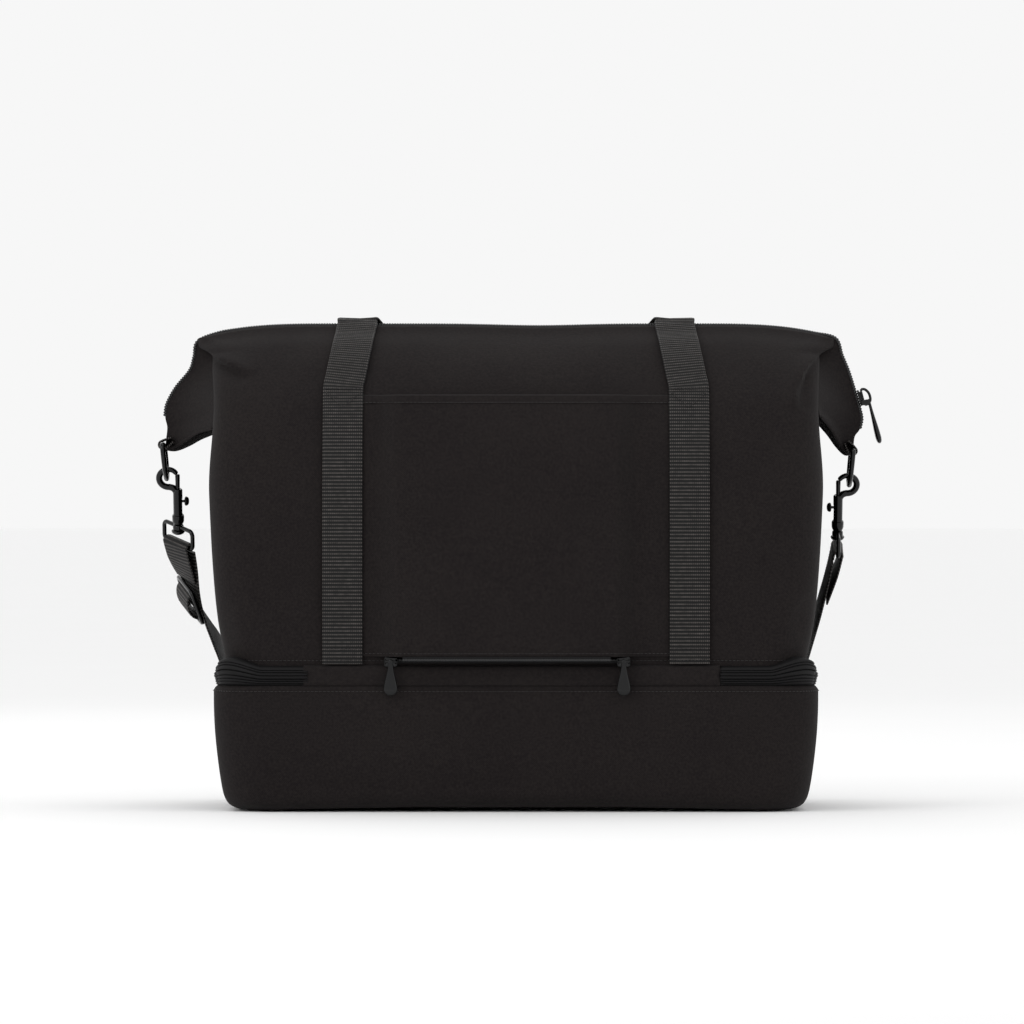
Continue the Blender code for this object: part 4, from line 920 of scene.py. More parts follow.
class BAG_OT_top_zip(bpy.types.Operator):
    """Makes the tapes and the coil of the long top zip"""
    bl_idname = "bag.top_zip"
    bl_label = "Top Zip"

    def execute(self, context):
        sizes = context.scene.bag_sizes
        line = ridge_line()
        line = np.stack([line[:, 0], np.zeros(len(line)), line[:, 1]], -1)
        fine, s = resample(line, sizes.coil_pitch / 6)
        wave = np.abs(np.sin(np.pi * s / sizes.coil_pitch)) ** 0.7
        make_piece("top_zip_coil", [tube(fine, 0.0010 + 0.0009 * wave, (0.0, 1.0, 0.0), sides=10)],
                   finish("zip_teeth"), "upper", ("top_zip_chain",), sharp=80)
        coarse, _ = resample(line, 0.003)
        run = unit(np.gradient(coarse, axis=0))
        out = np.stack([-run[:, 2], np.zeros(len(run)), run[:, 0]], -1)
        flat = smooth(0.2520 - np.abs(coarse[:, 0]), 0.0, 0.012)
        spread = np.array([-1.0, -0.94, -0.6, -0.28, -0.12, 0.12, 0.28, 0.6, 0.94, 1.0])
        drop = np.array([0.0026, 0.0016, 0.0012, 0.0010, 0.0016, 0.0016, 0.0010, 0.0012, 0.0016, 0.0026])
        half = 0.0022 + 0.0076 * flat
        fall = drop[None, :] * (0.5 + 0.5 * flat[:, None])
        fall = fall + (1 - flat[:, None]) * np.abs(spread)[None, :] * 0.004
        grid = coarse[:, None] - out[:, None] * fall[..., None]
        grid[..., 1] += spread[None, :] * half[:, None]
        make_piece("top_zip_tape", [patch(grid)], finish("zip_tape"), "upper",
                   ("top_zip_tape_rear", "top_zip_tape_front"), wall=0.0007)
        return {"FINISHED"}


# ---------------------------------------------------------------- base compartment and its zip

BASE_REAR_FOLDS = (
    (((-0.2300, 0.0950), (-0.2150, 0.0700), (-0.2100, 0.0400)), -0.5, 0.0110, False),
    (((0.2300, 0.0950), (0.2180, 0.0750), (0.2140, 0.0450)), -0.5, 0.0110, False),
    (((-0.1500, 0.0900), (-0.0300, 0.0820), (0.0900, 0.0900)), 0.35, 0.0150, False),
    (((-0.1900, 0.0120), (-0.0500, 0.0200), (0.1200, 0.0130)), -0.35, 0.0120, False),
)


class BAG_OT_base_compartment(bpy.types.Operator):
    """Makes the canvas tray of the base compartment"""
    bl_idname = "bag.base_compartment"
    bl_label = "Base Compartment"

    def execute(self, context):
        sizes = context.scene.bag_sizes
        weights = ring_weights(corner=16, long_side=96, short_side=34)
        grid, uv = shell_grid(BASE_LEVELS, weights, 60)
        x, y, z = grid[..., 0], grid[..., 1], grid[..., 2]
        normal = np.stack([weights[:, 4], weights[:, 5]], -1)
        side = np.abs(normal[:, 1]) ** 2
        out = side * relief(x, z, BASE_REAR_FOLDS, sizes.cloth_fold, 21, 0.0008)
        out = out + normal[:, 0] ** 2 * ripple(y, z, 23) * 0.0008
        edge = smooth(z, 0.004, 0.020) * (1 - smooth(z, 0.090, 0.098))
        grid[..., :2] += normal[None] * (out * edge)[..., None]
        arch = 0.0030 * np.clip(1 - (x / 0.205) ** 2, 0, 1) * (1 - smooth(z, 0.0, 0.050))
        grid[..., 2] += arch
        shrink = np.array([0.04, 0.35, 0.68, 0.92])[:, None, None]
        floor = grid[:1] * shrink * (1.0, 1.0, 0.0) + (0.0, 0.0, 0.0026)
        grid = np.concatenate([floor, grid])
        inward = np.array([0.09, 0.06, 0.03, 0.008])[:, None, None]
        uv = np.concatenate([uv[:1] - inward * (0, 1), uv])
        points, faces, spread = patch(grid, rings=True, uv=uv)
        columns = grid.shape[1]
        faces.append(list(range(columns))[::-1])
        spread = np.vstack([spread, np.zeros((columns, 2))])
        make_piece("base_compartment", [(points, faces, spread)], finish("canvas"), "base", ("base_shell",),
                   wall=CANVAS)
        board = bpy.data.objects["base_stiffener"]
        board.data.materials.clear()
        board.data.materials.append(finish("lining"))
        make_piece("base_seam_stitches", seam_stitches(BASE_LEVELS, BASE_SEAM, sizes), finish("thread"),
                   "base")
        return {"FINISHED"}


# Profile of the zip band as height and how far it stands out: stitched edge, ribs of the tape, closed slit
LOWER_TAPE = ((0.0982, -0.0085), (0.0984, -0.0055), (0.0990, -0.0024), (0.0998, 0.0002), (0.1008, 0.0010),
              (0.1015, 0.0004), (0.1019, 0.0013),
              (0.1027, 0.0014), (0.1031, 0.0006), (0.1035, 0.0014), (0.1044, 0.0017), (0.1049, 0.0009),
              (0.1053, 0.0018), (0.1064, 0.0025), (0.1072, 0.0023), (0.10745, 0.0002))
UPPER_TAPE = ((0.10775, 0.0002), (0.1080, 0.0023), (0.1088, 0.0025), (0.1097, 0.0017), (0.1101, 0.0009),
              (0.1105, 0.0016), (0.1114, 0.0015), (0.1118, 0.0007), (0.1122, 0.0013), (0.1132, 0.0012),
              (0.1142, 0.0004), (0.1152, -0.0022), (0.1158, -0.0055), (0.1160, -0.0085))


BAND_LIFT = 0.0065


def band_grid(profile, weights):
    """The band's profile carried round the bag. It stands out a little more at the corners, where it is
    bent."""
    z, out = np.asarray(profile, float).T
    big_a, big_r, big_b, big_s, nx, ny = weights.T
    corner = (2 * np.abs(nx * ny)) ** 1.3
    stand = out[:, None] + 0.0012 * corner[None, :]
    x = BAND_HALF_LENGTH * big_a + BAND_RADIUS * big_r + nx * stand
    y = BAND_HALF_DEPTH * big_b + BAND_RADIUS * big_s + ny * stand
    lift = BAND_LIFT * corner[None, :] * ((z - z[0]) / (BAND_HIGH - BAND_LOW))[:, None].clip(0.15, 1.0)
    return np.stack([x, y, z[:, None] + lift], -1)


class BAG_OT_base_zip(bpy.types.Operator):
    """Makes the zip round the base compartment, its two ends and the plain strip that is the hinge"""
    bl_idname = "bag.base_zip"
    bl_label = "Base Zip"

    def execute(self, context):
        weights = ring_weights(corner=16, long_side=120, short_side=40)
        x = BAND_HALF_LENGTH * weights[:, 0] + BAND_RADIUS * weights[:, 1]
        y = BAND_HALF_DEPTH * weights[:, 2] + BAND_RADIUS * weights[:, 3]
        order = np.roll(np.arange(len(weights)), -int(np.argmin(np.abs(x) + (y > 0) * 9)))
        weights, x, y = weights[order], x[order], y[order]
        turn = BAND_HALF_LENGTH - 0.30 * BAND_RADIUS
        on_rear = y < -(BAND_HALF_DEPTH - 0.70 * BAND_RADIUS)
        strip = on_rear & (x > STRIP_LEFT - 0.004) & (x < STRIP_RIGHT + 0.004)
        ends = {"left": on_rear & (x <= STRIP_LEFT + 0.001), "right": on_rear & (x >= STRIP_RIGHT - 0.001)}
        rest = ~on_rear
        rest = rest | np.roll(rest, 1) | np.roll(rest, -1)
        for name, profile, body in (("lower", LOWER_TAPE, "base"), ("upper", UPPER_TAPE, "upper")):
            make_piece(f"zip_band_{name}", [patch(band_grid(profile, weights[rest]))], finish("zip_tape"),
                       body, (f"base_zip_{name}",), wall=0.0010)
        for name, _ in SIDES:
            piece = make_piece(f"zip_band_end_{name}",
                               [patch(band_grid(LOWER_TAPE + UPPER_TAPE, weights[ends[name]]))],
                               finish("zip_tape"), None, (f"zip_end_{name}",), wall=0.0010)
            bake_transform(piece)
        whole = np.concatenate([np.flatnonzero(strip & (np.arange(len(x)) > len(x) // 2)),
                                np.flatnonzero(strip & (np.arange(len(x)) <= len(x) // 2))])
        plain = ((0.0984, -0.0055), (0.0988, -0.0024), (0.0998, 0.0006), (0.1010, 0.0014), (0.1040, 0.0012),
                 (0.1076, 0.0010),
                 (0.1112, 0.0012), (0.1142, 0.0014), (0.1152, 0.0004), (0.1158, -0.0022), (0.1160, -0.0060))
        grid = band_grid(plain, weights[whole])
        uv = np.stack(np.broadcast_arrays(grid[:1, :, 0], np.asarray(plain)[:, :1]), -1)
        piece = make_piece("hinge_strip", [patch(grid, uv=uv)], finish("canvas"), None,
                           ("rear_hinge_strip",), wall=0.0012)
        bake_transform(piece)
        return {"FINISHED"}


# ---------------------------------------------------------------- trolley sleeve

def sleeve_stand(x):
    """How far the sleeve stands off: nothing where it is sewn down, and its full height between the two
    ramps."""
    reach = np.abs(x - SLEEVE_CENTRE)
    return 0.0012 + SLEEVE_STAND * (1 - smooth(reach, SLEEVE_OPEN_HALF, SLEEVE_OPEN_HALF + SLEEVE_RAMP * 1.6))


class BAG_OT_sleeve(bpy.types.Operator):
    """Makes the sleeve for a trolley handle, its hems and the zip at its bottom"""
    bl_idname = "bag.sleeve"
    bl_label = "Trolley Sleeve"

    def execute(self, context):
        sizes = context.scene.bag_sizes
        x = np.linspace(-SLEEVE_HALF, SLEEVE_HALF, 121)[None, :]
        heights = np.concatenate([np.linspace(SLEEVE_LOW, SLEEVE_LOW + 0.010, 16),
                                  np.linspace(SLEEVE_LOW + 0.012, SLEEVE_HIGH - 0.012, 70),
                                  np.linspace(SLEEVE_HIGH - 0.010, SLEEVE_HIGH, 16)])[:, None]
        hem = smooth(heights, SLEEVE_HIGH - 0.0072, SLEEVE_HIGH - 0.0066)
        hem = hem + 1 - smooth(heights, SLEEVE_LOW + 0.0028, SLEEVE_LOW + 0.0034)
        slack = 0.0007 * ripple(x, heights, 31) * smooth(heights, SLEEVE_LOW, SLEEVE_LOW + 0.02)
        roll = -0.0006 * smooth(heights, SLEEVE_HIGH - 0.0009, SLEEVE_HIGH)
        stand = sleeve_stand(x) + 0.0006 * hem + slack + roll
        grid = face_points(x, heights, stand)
        uv = np.stack(np.broadcast_arrays(x, heights), -1)
        make_piece("sleeve_panel", [patch(grid, uv=uv)], finish("canvas"), "upper", ("trolley_sleeve",),
                   wall=0.0012)
        line_x = np.linspace(-SLEEVE_HALF, SLEEVE_HALF, 200)
        rows = []
        for height in (SLEEVE_HIGH - 0.0062, SLEEVE_LOW + 0.0024):
            z = np.full_like(line_x, height)
            slack = 0.0007 * ripple(line_x, z, 31) * smooth(z, SLEEVE_LOW, SLEEVE_LOW + 0.02)
            stand = sleeve_stand(line_x) + 0.0007 + slack
            rows += stitch_row(face_points(line_x, z, stand), (0.0, -1.0, 0.0), sizes.stitch, sizes.thread)
        make_piece("sleeve_stitches", rows, finish("thread"), "upper")
        self.make_zip(sizes)
        return {"FINISHED"}

    def make_zip(self, sizes):
        """Two tapes with half a coil each: one on the bag's side and one under the sleeve's lower hem."""
        for node, name, lift in (("sleeve_zip_body_side", "sleeve_tape_body", 1),
                                 ("sleeve_zip_sleeve_side", "sleeve_tape_hem", -1)):
            low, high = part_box(node)
            x = np.linspace(low.x, high.x, 40)
            middle = (low.z + high.z) / 2
            profile = np.array(((-1.0, 0.1), (-0.9, 1.0), (0.3, 1.0), (0.5, 1.35), (0.9, 1.35), (1.0, 0.2),
                                (0.9, -0.9), (-0.9, -0.9)))
            centre_y = (low.y + high.y) / 2
            z = middle + lift * profile[:, 0] * (high.z - low.z) / 2
            y = centre_y - profile[:, 1] * (high.y - low.y) / 2 * 0.8
            grid = np.stack(np.broadcast_arrays(x[:, None], y[None, :], z[None, :]), -1)
            line = np.stack([x, np.full_like(x, centre_y - 0.0008),
                             np.full_like(x, middle + lift * 0.0012)], -1)
            fine, s = resample(line, sizes.coil_pitch / 5)
            wave = np.abs(np.sin(np.pi * s / sizes.coil_pitch)) ** 0.7
            make_piece(name, [patch(grid, rings=True, caps=True)], finish("zip_tape"), "upper", (node,))
            make_piece(name.replace("tape", "coil"),
                       [tube(fine, 0.0006 + 0.0005 * wave, (0.0, 1.0, 0.0), sides=8)],
                       finish("zip_teeth"), "upper", sharp=80)


# ---------------------------------------------------------------- carry webbing

def handle_line(half_span, drop, outline, stand_end, stand_middle, count=27):
    """Middle line of a hanging handle and the direction across it: a parabola laid on the front face, whose
    webbing turns edge-on to the face towards its middle."""
    u = np.linspace(-1.0, 1.0, count)
    u = np.sign(u) * np.abs(u) ** 0.8
    outline = np.asarray(outline, float)
    s = np.concatenate([[0.0], np.cumsum(np.hypot(*np.diff(outline, axis=0).T))])
    where = drop * (1 - u * u)
    y, z = (np.interp(where, s, column) for column in outline.T)
    ahead = np.stack([np.interp(where + 0.004, s, column) for column in outline.T], -1)
    back = np.stack([np.interp(where - 0.004, s, column) for column in outline.T], -1)
    run = unit(ahead - back)
    out = np.stack([np.zeros(count), -run[:, 1], run[:, 0]], -1)
    blend = smooth(1 - np.abs(u) / 0.92, 0.0, 1.0)
    stand = stand_end + (stand_middle - stand_end) * np.sin(blend * np.pi / 2)
    line = np.stack([half_span * u, y, z], -1) + out * stand[:, None]
    travel = np.gradient(line, axis=0)
    flat = unit(np.cross(travel, out))
    turn = (blend * np.pi / 2)[:, None]
    return line, flat * np.cos(turn) + unit(np.cross(flat, travel)) * np.sin(turn)


def strap_stand(z):
    """How far the sewn rear webbing stands off: over the sleeve's edge, and looser above its last
    stitches."""
    return 0.0032 + 0.0016 * smooth(z, SEWN_TOP + 0.004, SEWN_TOP + 0.030)


class BAG_OT_carry_webbing(bpy.types.Operator):
    """Makes the rear and front carry webbing with their two handles and their stitching"""
    bl_idname = "bag.carry_webbing"
    bl_label = "Carry Webbing"

    def execute(self, context):
        sizes = context.scene.bag_sizes
        self.make_rear(sizes)
        self.make_front(sizes)
        self.make_stitches(sizes)
        return {"FINISHED"}

    def rear_rise(self, side):
        """One rear run from its sewn foot to the ridge: straight up, then leaning in to the handle's end."""
        z = np.concatenate([np.linspace(SEWN_LOW, SEWN_TOP, 14),
                            np.array([0.3450, 0.3560, 0.3660, 0.3745, 0.3810])])
        lean = np.clip((z - SEWN_TOP) / (CREST_Z - SEWN_TOP), 0.0, 1.0)
        line = face_points(side * (STRAP_X + (CREST_X - STRAP_X) * lean), z, strap_stand(z))
        crest = np.array([[side * (CREST_X + 0.0004), -0.0105, 0.3882], [side * CREST_X, 0.0, 0.3918]])
        return np.vstack([line, crest])

    def make_rear(self, sizes):
        slope = [(level[2], level[0]) for level in UPPER_LEVELS[::-1] if level[0] > 0.12]
        line, across = handle_line(CREST_X, REAR_HANDLE_DROP, [(0.0045, CREST_Z - 0.0020), *slope], 0.0034,
                                   0.0200)
        left, right = self.rear_rise(-1), self.rear_rise(1)[::-1]
        out = np.array([[1.0, 0.0, 0.0]])
        line = np.vstack([left, line[1:-1], right])
        across = np.vstack([np.repeat(out, len(left), 0), across[1:-1], np.repeat(-out, len(right), 0)])
        piece = make_piece("rear_carry_webbing", [webbing(line, across, sizes)], finish("webbing"), None,
                           ("rear_strap_left", "rear_strap_right", "rear_handle"))
        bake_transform(piece)

    def make_front(self, sizes):
        z = np.linspace(SEWN_LOW, SEWN_TOP - 0.0010, 14)
        for name, side in SIDES:
            line = face_points(side * STRAP_X, z, 0.0014, front=True)
            across = np.broadcast_to((1.0, 0.0, 0.0), line.shape)
            make_piece(f"front_webbing_{name}", [webbing(line, across, sizes)], finish("webbing"), "upper",
                       (f"front_strap_{name}",))
        slope = [(level[2], level[0]) for level in UPPER_LEVELS[::-1] if 0.12 < level[0] < SEWN_TOP - 0.002]
        start = (float(depth_at(SEWN_TOP)), SEWN_TOP)
        line, across = handle_line(STRAP_X, FRONT_HANDLE_DROP, [start, *slope], 0.0072, 0.0210)
        low = face_points(np.array([STRAP_X]), np.array([SEWN_TOP - 0.006]), 0.0018, front=True)[0]
        bend = np.array([low, [STRAP_X, low[1] - 0.0010, SEWN_TOP + 0.0020],
                         [STRAP_X, low[1] + 0.0005, 0.3410],
                         [STRAP_X, line[0, 1] - 0.0004, line[0, 2] + 0.0036]])
        left = bend * (-1, 1, 1)
        out = np.array([[1.0, 0.0, 0.0]])
        across = np.vstack([np.repeat(out, 4, 0), across, np.repeat(-out, 4, 0)])
        piece = make_piece("front_carry_handle",
                           [webbing(np.vstack([left, line, bend[::-1]]), across, sizes)],
                           finish("webbing"), None, ("front_handle",))
        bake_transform(piece)

    def make_stitches(self, sizes):
        """A row across the top of each sewn run, a V below it, and a row across its foot."""
        half = sizes.webbing_width / 2 - 0.0018
        top, point = SEWN_TOP - 0.0008, SEWN_TOP - 0.0155
        seams = [((-half, z), (half, z)) for z in (top, SEWN_LOW + 0.003, SEWN_LOW + 0.012)]
        seams += [((side * half, top - 0.0025), (0.0, point)) for side in (-1, 1)]
        for front, label, lift in ((False, "rear", 0.0032), (True, "front", 0.0014)):
            rows = []
            for _, side in SIDES:
                for start, end in seams:
                    line = np.linspace(start, end, 12)
                    stand = lift + sizes.webbing / 2 + sizes.rib_height * 0.7
                    points = face_points(side * STRAP_X + line[:, 0], line[:, 1], stand, front)
                    rows += stitch_row(points, (0.0, 1.0 if front else -1.0, 0.1), sizes.stitch * 0.85,
                                       sizes.thread * 1.2)
            make_piece(f"webbing_stitches_{label}", rows, finish("thread"), "upper")


# ---------------------------------------------------------------- D-rings and snap hooks

def to_frame(matrix, points):
    """Points moved by a 4x4 matrix."""
    matrix = np.array(matrix)
    return np.asarray(points, float) @ matrix[:3, :3].T + matrix[:3, 3]


def moved(matrix, parts):
    return [(to_frame(matrix, points), faces, uv) for points, faces, uv in parts]


def hook_frame(name, side):
    """Frame of a snap hook: origin at the D-ring's centre on the barrel's axis, leaning forward."""
    ring = RINGS[name]
    place = (HOOK_X[name] - side * EYE_OFFSET, 0.0, ring[2] - RING_DROP)
    return Matrix.Translation(place) @ Matrix.Rotation(HOOK_LEAN, 4, "X")


def rounded_frame(half_width, half_height, bend, steps=6):
    """Points round a rectangle with rounded corners, in a plane."""
    corners = ((1, 1, 0), (-1, 1, 90), (-1, -1, 180), (1, -1, 270))
    found = []
    for side_x, side_y, start in corners:
        angle = np.radians(start + np.linspace(0.0, 90.0, steps))
        found.append(np.stack([side_x * (half_width - bend) + bend * np.cos(angle),
                               side_y * (half_height - bend) + bend * np.sin(angle)], -1))
    return np.vstack(found)


class BAG_OT_hardware(bpy.types.Operator):
    """Makes the D-rings, the snap hooks with their bolts, and the loops that hold the strap"""
    bl_idname = "bag.hardware"
    bl_label = "Hardware"

    def execute(self, context):
        metal = finish("black_metal")
        for name, side in SIDES:
            bar_x, low_x, bar_z = RINGS[name]
            angle = np.linspace(0.0, np.pi, 33)
            round_y, round_z = RING_RADIUS * np.cos(angle), -RING_DROP - RING_RADIUS * np.sin(angle)
            bend = np.array([[-RING_RADIUS, -0.0022], [-RING_RADIUS + 0.0006, -0.0007],
                             [-RING_RADIUS + 0.0022, 0.0]])
            flat = np.vstack([bend, bend[::-1] * (-1, 1), np.stack([round_y, round_z], -1)])
            slope = (low_x - bar_x) / (-RING_DROP - RING_RADIUS)
            line = np.stack([bar_x + slope * flat[:, 1], flat[:, 0], bar_z + flat[:, 1]], -1)
            make_piece(f"d_ring_wire_{name}", [tube(line, RING_WIRE, (1.0, 0.0, -slope), sides=18,
                                                    closed=True)], metal,
                       f"d_ring_{name}", (f"d_ring_{name}",))
            place = hook_frame(name, side)
            make_piece(f"hook_{name}", moved(place, self.hook(side)), metal, f"hook_{name}",
                       (f"snap_hook_{name}",))
            make_piece(f"bolt_{name}", moved(place, self.bolt(side)), metal, f"bolt_{name}",
                       (f"snap_bolt_{name}",))
            turn = place @ Matrix.Rotation(LOOP_TURN[name], 4, "Z")
            make_piece(f"webbing_loop_{name}", moved(turn, self.loop()), metal, "shoulder_strap",
                       (f"swivel_loop_{name}",))
        return {"FINISHED"}

    def hook(self, side):
        """A cast eye that swells from its tip round to its neck, a slotted barrel, a collar and a swivel
        head."""
        share = np.linspace(0.0, 1.0, 49)
        angle = np.radians(EYE_START + EYE_SWEEP * share)
        eye = np.stack([side * (EYE_OFFSET + EYE_RADIUS * np.cos(angle)), 0 * angle,
                        -EYE_DROP + EYE_RADIUS * np.sin(angle)], -1)
        neck = np.array([[side * 0.0003, 0.0, -BARREL_TOP - 0.0045],
                         [side * 0.0016, 0.0, -BARREL_TOP - 0.0016],
                         [side * 0.0036, 0.0, -BARREL_TOP + 0.0006]])
        line = np.vstack([catmull(np.vstack([neck, eye[2:3]]), 5)[:-1], eye[2:]])
        s = np.linspace(0.0, 1.0, len(line))
        fat = 0.0029 - 0.0003 * smooth(s, 0.0, 0.35) - 0.0006 * smooth(s, 0.55, 1.0)
        fat[-2:] *= (0.96, 0.8)
        parts = [tube(line, fat, (0.0, 1.0, 0.0), sides=18)]
        parts.append(self.barrel(side))
        h = -COLLAR_BOTTOM
        parts.append(turned((0, 0, 0), (0, 0, 1), (
            (-BARREL_BOTTOM + 0.0016, 0.0036), (-BARREL_BOTTOM + 0.0012, 0.0046), (-BARREL_BOTTOM, 0.0049),
            (h + 0.0028, 0.0048), (h + 0.0010, 0.0043), (h, 0.0036), (h - 0.0003, 0.0016),
            (-LOOP_TOP - 0.0034, 0.0016))))
        top = -LOOP_TOP - 0.0030
        parts.append(turned((0, 0, 0), (0, 0, 1), (
            (top + 0.0002, 0.0020), (top, 0.0050), (top - 0.0008, 0.0056), (top - 0.0022, 0.0050),
            (top - 0.0033, 0.0034), (top - 0.0038, 0.0014))))
        parts.append(turned((0.0, -0.0043, -BARREL_BOTTOM - 0.0030), (0, -1, 0), (
            (0.0, 0.0013), (0.0006, 0.0013), (0.0009, 0.0009), (0.0010, 0.0003)), sides=12))
        return parts

    def barrel(self, side):
        """Tube for the spring: round, drawn in at its top, with a slot in its side for the knob."""
        height = np.linspace(-BARREL_TOP, -BARREL_BOTTOM, 73)[:, None]
        turn = np.linspace(0.0, 2 * np.pi, 72, endpoint=False)[None, :]
        rim = 1 - 0.18 * smooth(height, -BARREL_TOP - 0.0009, -BARREL_TOP)
        off_axis = np.arccos(np.clip(-side * np.cos(turn), -1, 1)) * BARREL_RADIUS
        in_slot = (1 - smooth(off_axis, 0.0013, 0.0017))
        in_slot = in_slot * smooth(height, -KNOB_DROP - 0.0108, -KNOB_DROP - 0.0100)
        in_slot = in_slot * (1 - smooth(height, -KNOB_DROP + 0.0018, -KNOB_DROP + 0.0024))
        radius = BARREL_RADIUS * rim - 0.0012 * in_slot
        grid = np.stack([radius * np.cos(turn), radius * np.sin(turn), height + 0 * turn], -1)
        return patch(grid, rings=True, caps=True)

    def bolt(self, side):
        """The sprung rod that shuts the eye, and its knob on a thin neck outside the slot."""
        tip = math.radians(EYE_START + EYE_SWEEP)
        top = -EYE_DROP + EYE_RADIUS * math.sin(tip) - 0.0004
        rod = turned((0, 0, 0), (0, 0, 1), ((top, 0.0013), (top - 0.0004, 0.0018), (top - 0.0012, 0.0019),
                                            (-BARREL_TOP - 0.002, 0.0017)), sides=18)
        knob = turned((0, 0, -KNOB_DROP), (-side, 0, 0), (
            (0.0022, 0.0011), (0.0052, 0.0011), (0.0055, 0.0030), (0.0061, 0.0038), (0.0071, 0.0038),
            (0.0083, 0.0031), (0.0089, 0.0020), (0.0091, 0.0007)), sides=22)
        return [rod, knob]

    def loop(self):
        """Rounded wire frame with a boss in its upper bar, through which the hook's pin turns."""
        outline = rounded_frame(LOOP_HALF, (LOOP_BOTTOM - LOOP_TOP) / 2, 0.0040, 8)
        line = np.stack([outline[:, 0], 0 * outline[:, 0], outline[:, 1] - (LOOP_TOP + LOOP_BOTTOM) / 2], -1)
        boss = turned((0, 0, 0), (0, 0, 1), ((-LOOP_TOP + 0.0018, 0.0028), (-LOOP_TOP + 0.0014, 0.0040),
                                             (-LOOP_TOP + 0.0004, 0.0044), (-LOOP_TOP - 0.0020, 0.0044),
                                             (-LOOP_TOP - 0.0026, 0.0036)))
        return [tube(line, LOOP_WIRE, (0.0, 1.0, 0.0), sides=14, closed=True), boss]


# ---------------------------------------------------------------- shoulder strap

def strap_course():
    """Fine points of the strap's middle line and its across direction, both as one array."""
    route = np.array([[*point, *side] for point, side in STRAP_ROUTE])
    return resample(catmull(route), 0.001)[0]


def strap_place(course, distance, outward):
    """Point, outward normal and across direction at a distance along the strap."""
    centre = at_distance(course, distance)
    step = 0.001
    behind = at_distance(course, np.maximum(0, distance - step))
    run = unit((at_distance(course, distance + step) - behind)[..., :3])
    side = unit(centre[..., 3:] - run * (centre[..., 3:] * run).sum(-1, keepdims=True))
    normal = unit(np.cross(side, run))
    flip = np.where((normal * outward).sum(-1, keepdims=True) < 0, -1.0, 1.0)
    return centre[..., :3], normal * flip, side, run


class BAG_OT_shoulder_strap(bpy.types.Operator):
    """Makes the shoulder strap, its two folded ends and its adjuster"""
    bl_idname = "bag.shoulder_strap"
    bl_label = "Shoulder Strap"

    def execute(self, context):
        sizes = context.scene.bag_sizes
        course = strap_course()
        route = np.array([[*point, *side] for point, side in STRAP_ROUTE])
        make_piece("strap_webbing", [webbing(route[:, :3], route[:, 3:], sizes)], finish("webbing"),
                   "shoulder_strap", ("shoulder_strap",))
        for name, side in SIDES:
            line = course if side < 0 else course[::-1]
            self.make_fold(name, side, line, sizes)
        self.make_adjuster(course, sizes)
        return {"FINISHED"}

    def make_fold(self, name, side, course, sizes):
        """The strap's end: half a turn over the loop's lower bar and back along the strap's outer side."""
        loop = hook_frame(name, side) @ Matrix.Rotation(LOOP_TURN[name], 4, "Z")
        middle = np.array(loop @ Vector((0.0, 0.0, -LOOP_BOTTOM)))
        bar = unit(np.array(loop.to_3x3() @ Vector((1.0, 0.0, 0.0))))
        bar = bar if bar @ course[0, 3:] > 0 else -bar
        run = course[8, :3] - course[0, :3]
        run = unit(run - bar * (run @ bar))
        out = unit(np.cross(bar, run))
        out = out if out[0] * course[0, 0] > 0 else -out
        angle = np.radians(np.linspace(0.0, 180.0, 9))[:, None]
        bend = middle - out * FOLD_RADIUS * np.cos(angle) - run * FOLD_RADIUS * np.sin(angle)
        start = course[0, :3] * 0.6 + (middle - out * FOLD_RADIUS) * 0.4
        along = FOLD_LENGTH[name] * np.linspace(0.25, 1.0, 4)
        base, normal, across, _ = strap_place(course, along, out)
        ease = (1 - np.linspace(0.25, 1.0, 4))[:, None]
        tail = base + normal * (FOLD_STAND + (2 * FOLD_RADIUS - FOLD_STAND) * ease)
        line = np.vstack([start[None], bend, tail])
        directions = np.vstack([np.repeat(bar[None], 10, 0), across])
        make_piece(f"strap_end_{name}", [webbing(line, directions, sizes,
                                                 width=sizes.webbing_width - 0.0010)],
                   finish("webbing"), "shoulder_strap", (f"strap_fold_{name}",))
        sewn, normal, across, _ = strap_place(course, np.array([FOLD_LENGTH[name] - 0.004]), out)
        half = sizes.webbing_width / 2 - 0.003
        row = sewn[0] + normal[0] * (FOLD_STAND + 0.0011) + across[0] * np.linspace(-half, half, 9)[:, None]
        make_piece(f"strap_stitches_{name}", stitch_row(row, normal[0], sizes.stitch * 0.85,
                                                        sizes.thread * 1.2),
                   finish("thread"), "shoulder_strap")

    def make_adjuster(self, course, sizes):
        """A three-bar slide with the strap's tail drawn over its middle bar."""
        point, normal, side, run = (part[0] for part in strap_place(course, np.array([ADJUSTER_AT]),
                                                                    (-1.0, 0.0, 0.0)))
        run = run if run[2] < 0 else -run
        centre = point + normal * (sizes.webbing / 2 + ADJUSTER_WIRE + 0.0018)
        outline = rounded_frame(ADJUSTER_HALF_WIDTH, ADJUSTER_HALF_HEIGHT, 0.0045, 7)
        line = centre + outline[:, :1] * side + outline[:, 1:] * run
        bar = centre + np.linspace(-1, 1, 9)[:, None] * ADJUSTER_HALF_WIDTH * side
        parts = [tube(line, ADJUSTER_WIRE * 1.12, normal, sides=14, closed=True),
                 tube(bar, ADJUSTER_WIRE, normal, sides=14)]
        make_piece("strap_slide", parts, finish("black_metal"), "adjuster", ("strap_adjuster",))
        rise = ((-0.0150, -0.0012), (-0.0118, 0.0006), (-0.0085, 0.0040), (-0.0030, 0.0060), (0.0030, 0.0062),
                (0.0080, 0.0046), (0.0118, 0.0010), (0.0150, -0.0014))
        wrap = np.array([centre + run * along + normal * up for along, up in rise])
        band = webbing(wrap, np.broadcast_to(side, wrap.shape), sizes, width=sizes.webbing_width - 0.0014)
        make_piece("slide_wrap", [band], finish("webbing"), "adjuster")


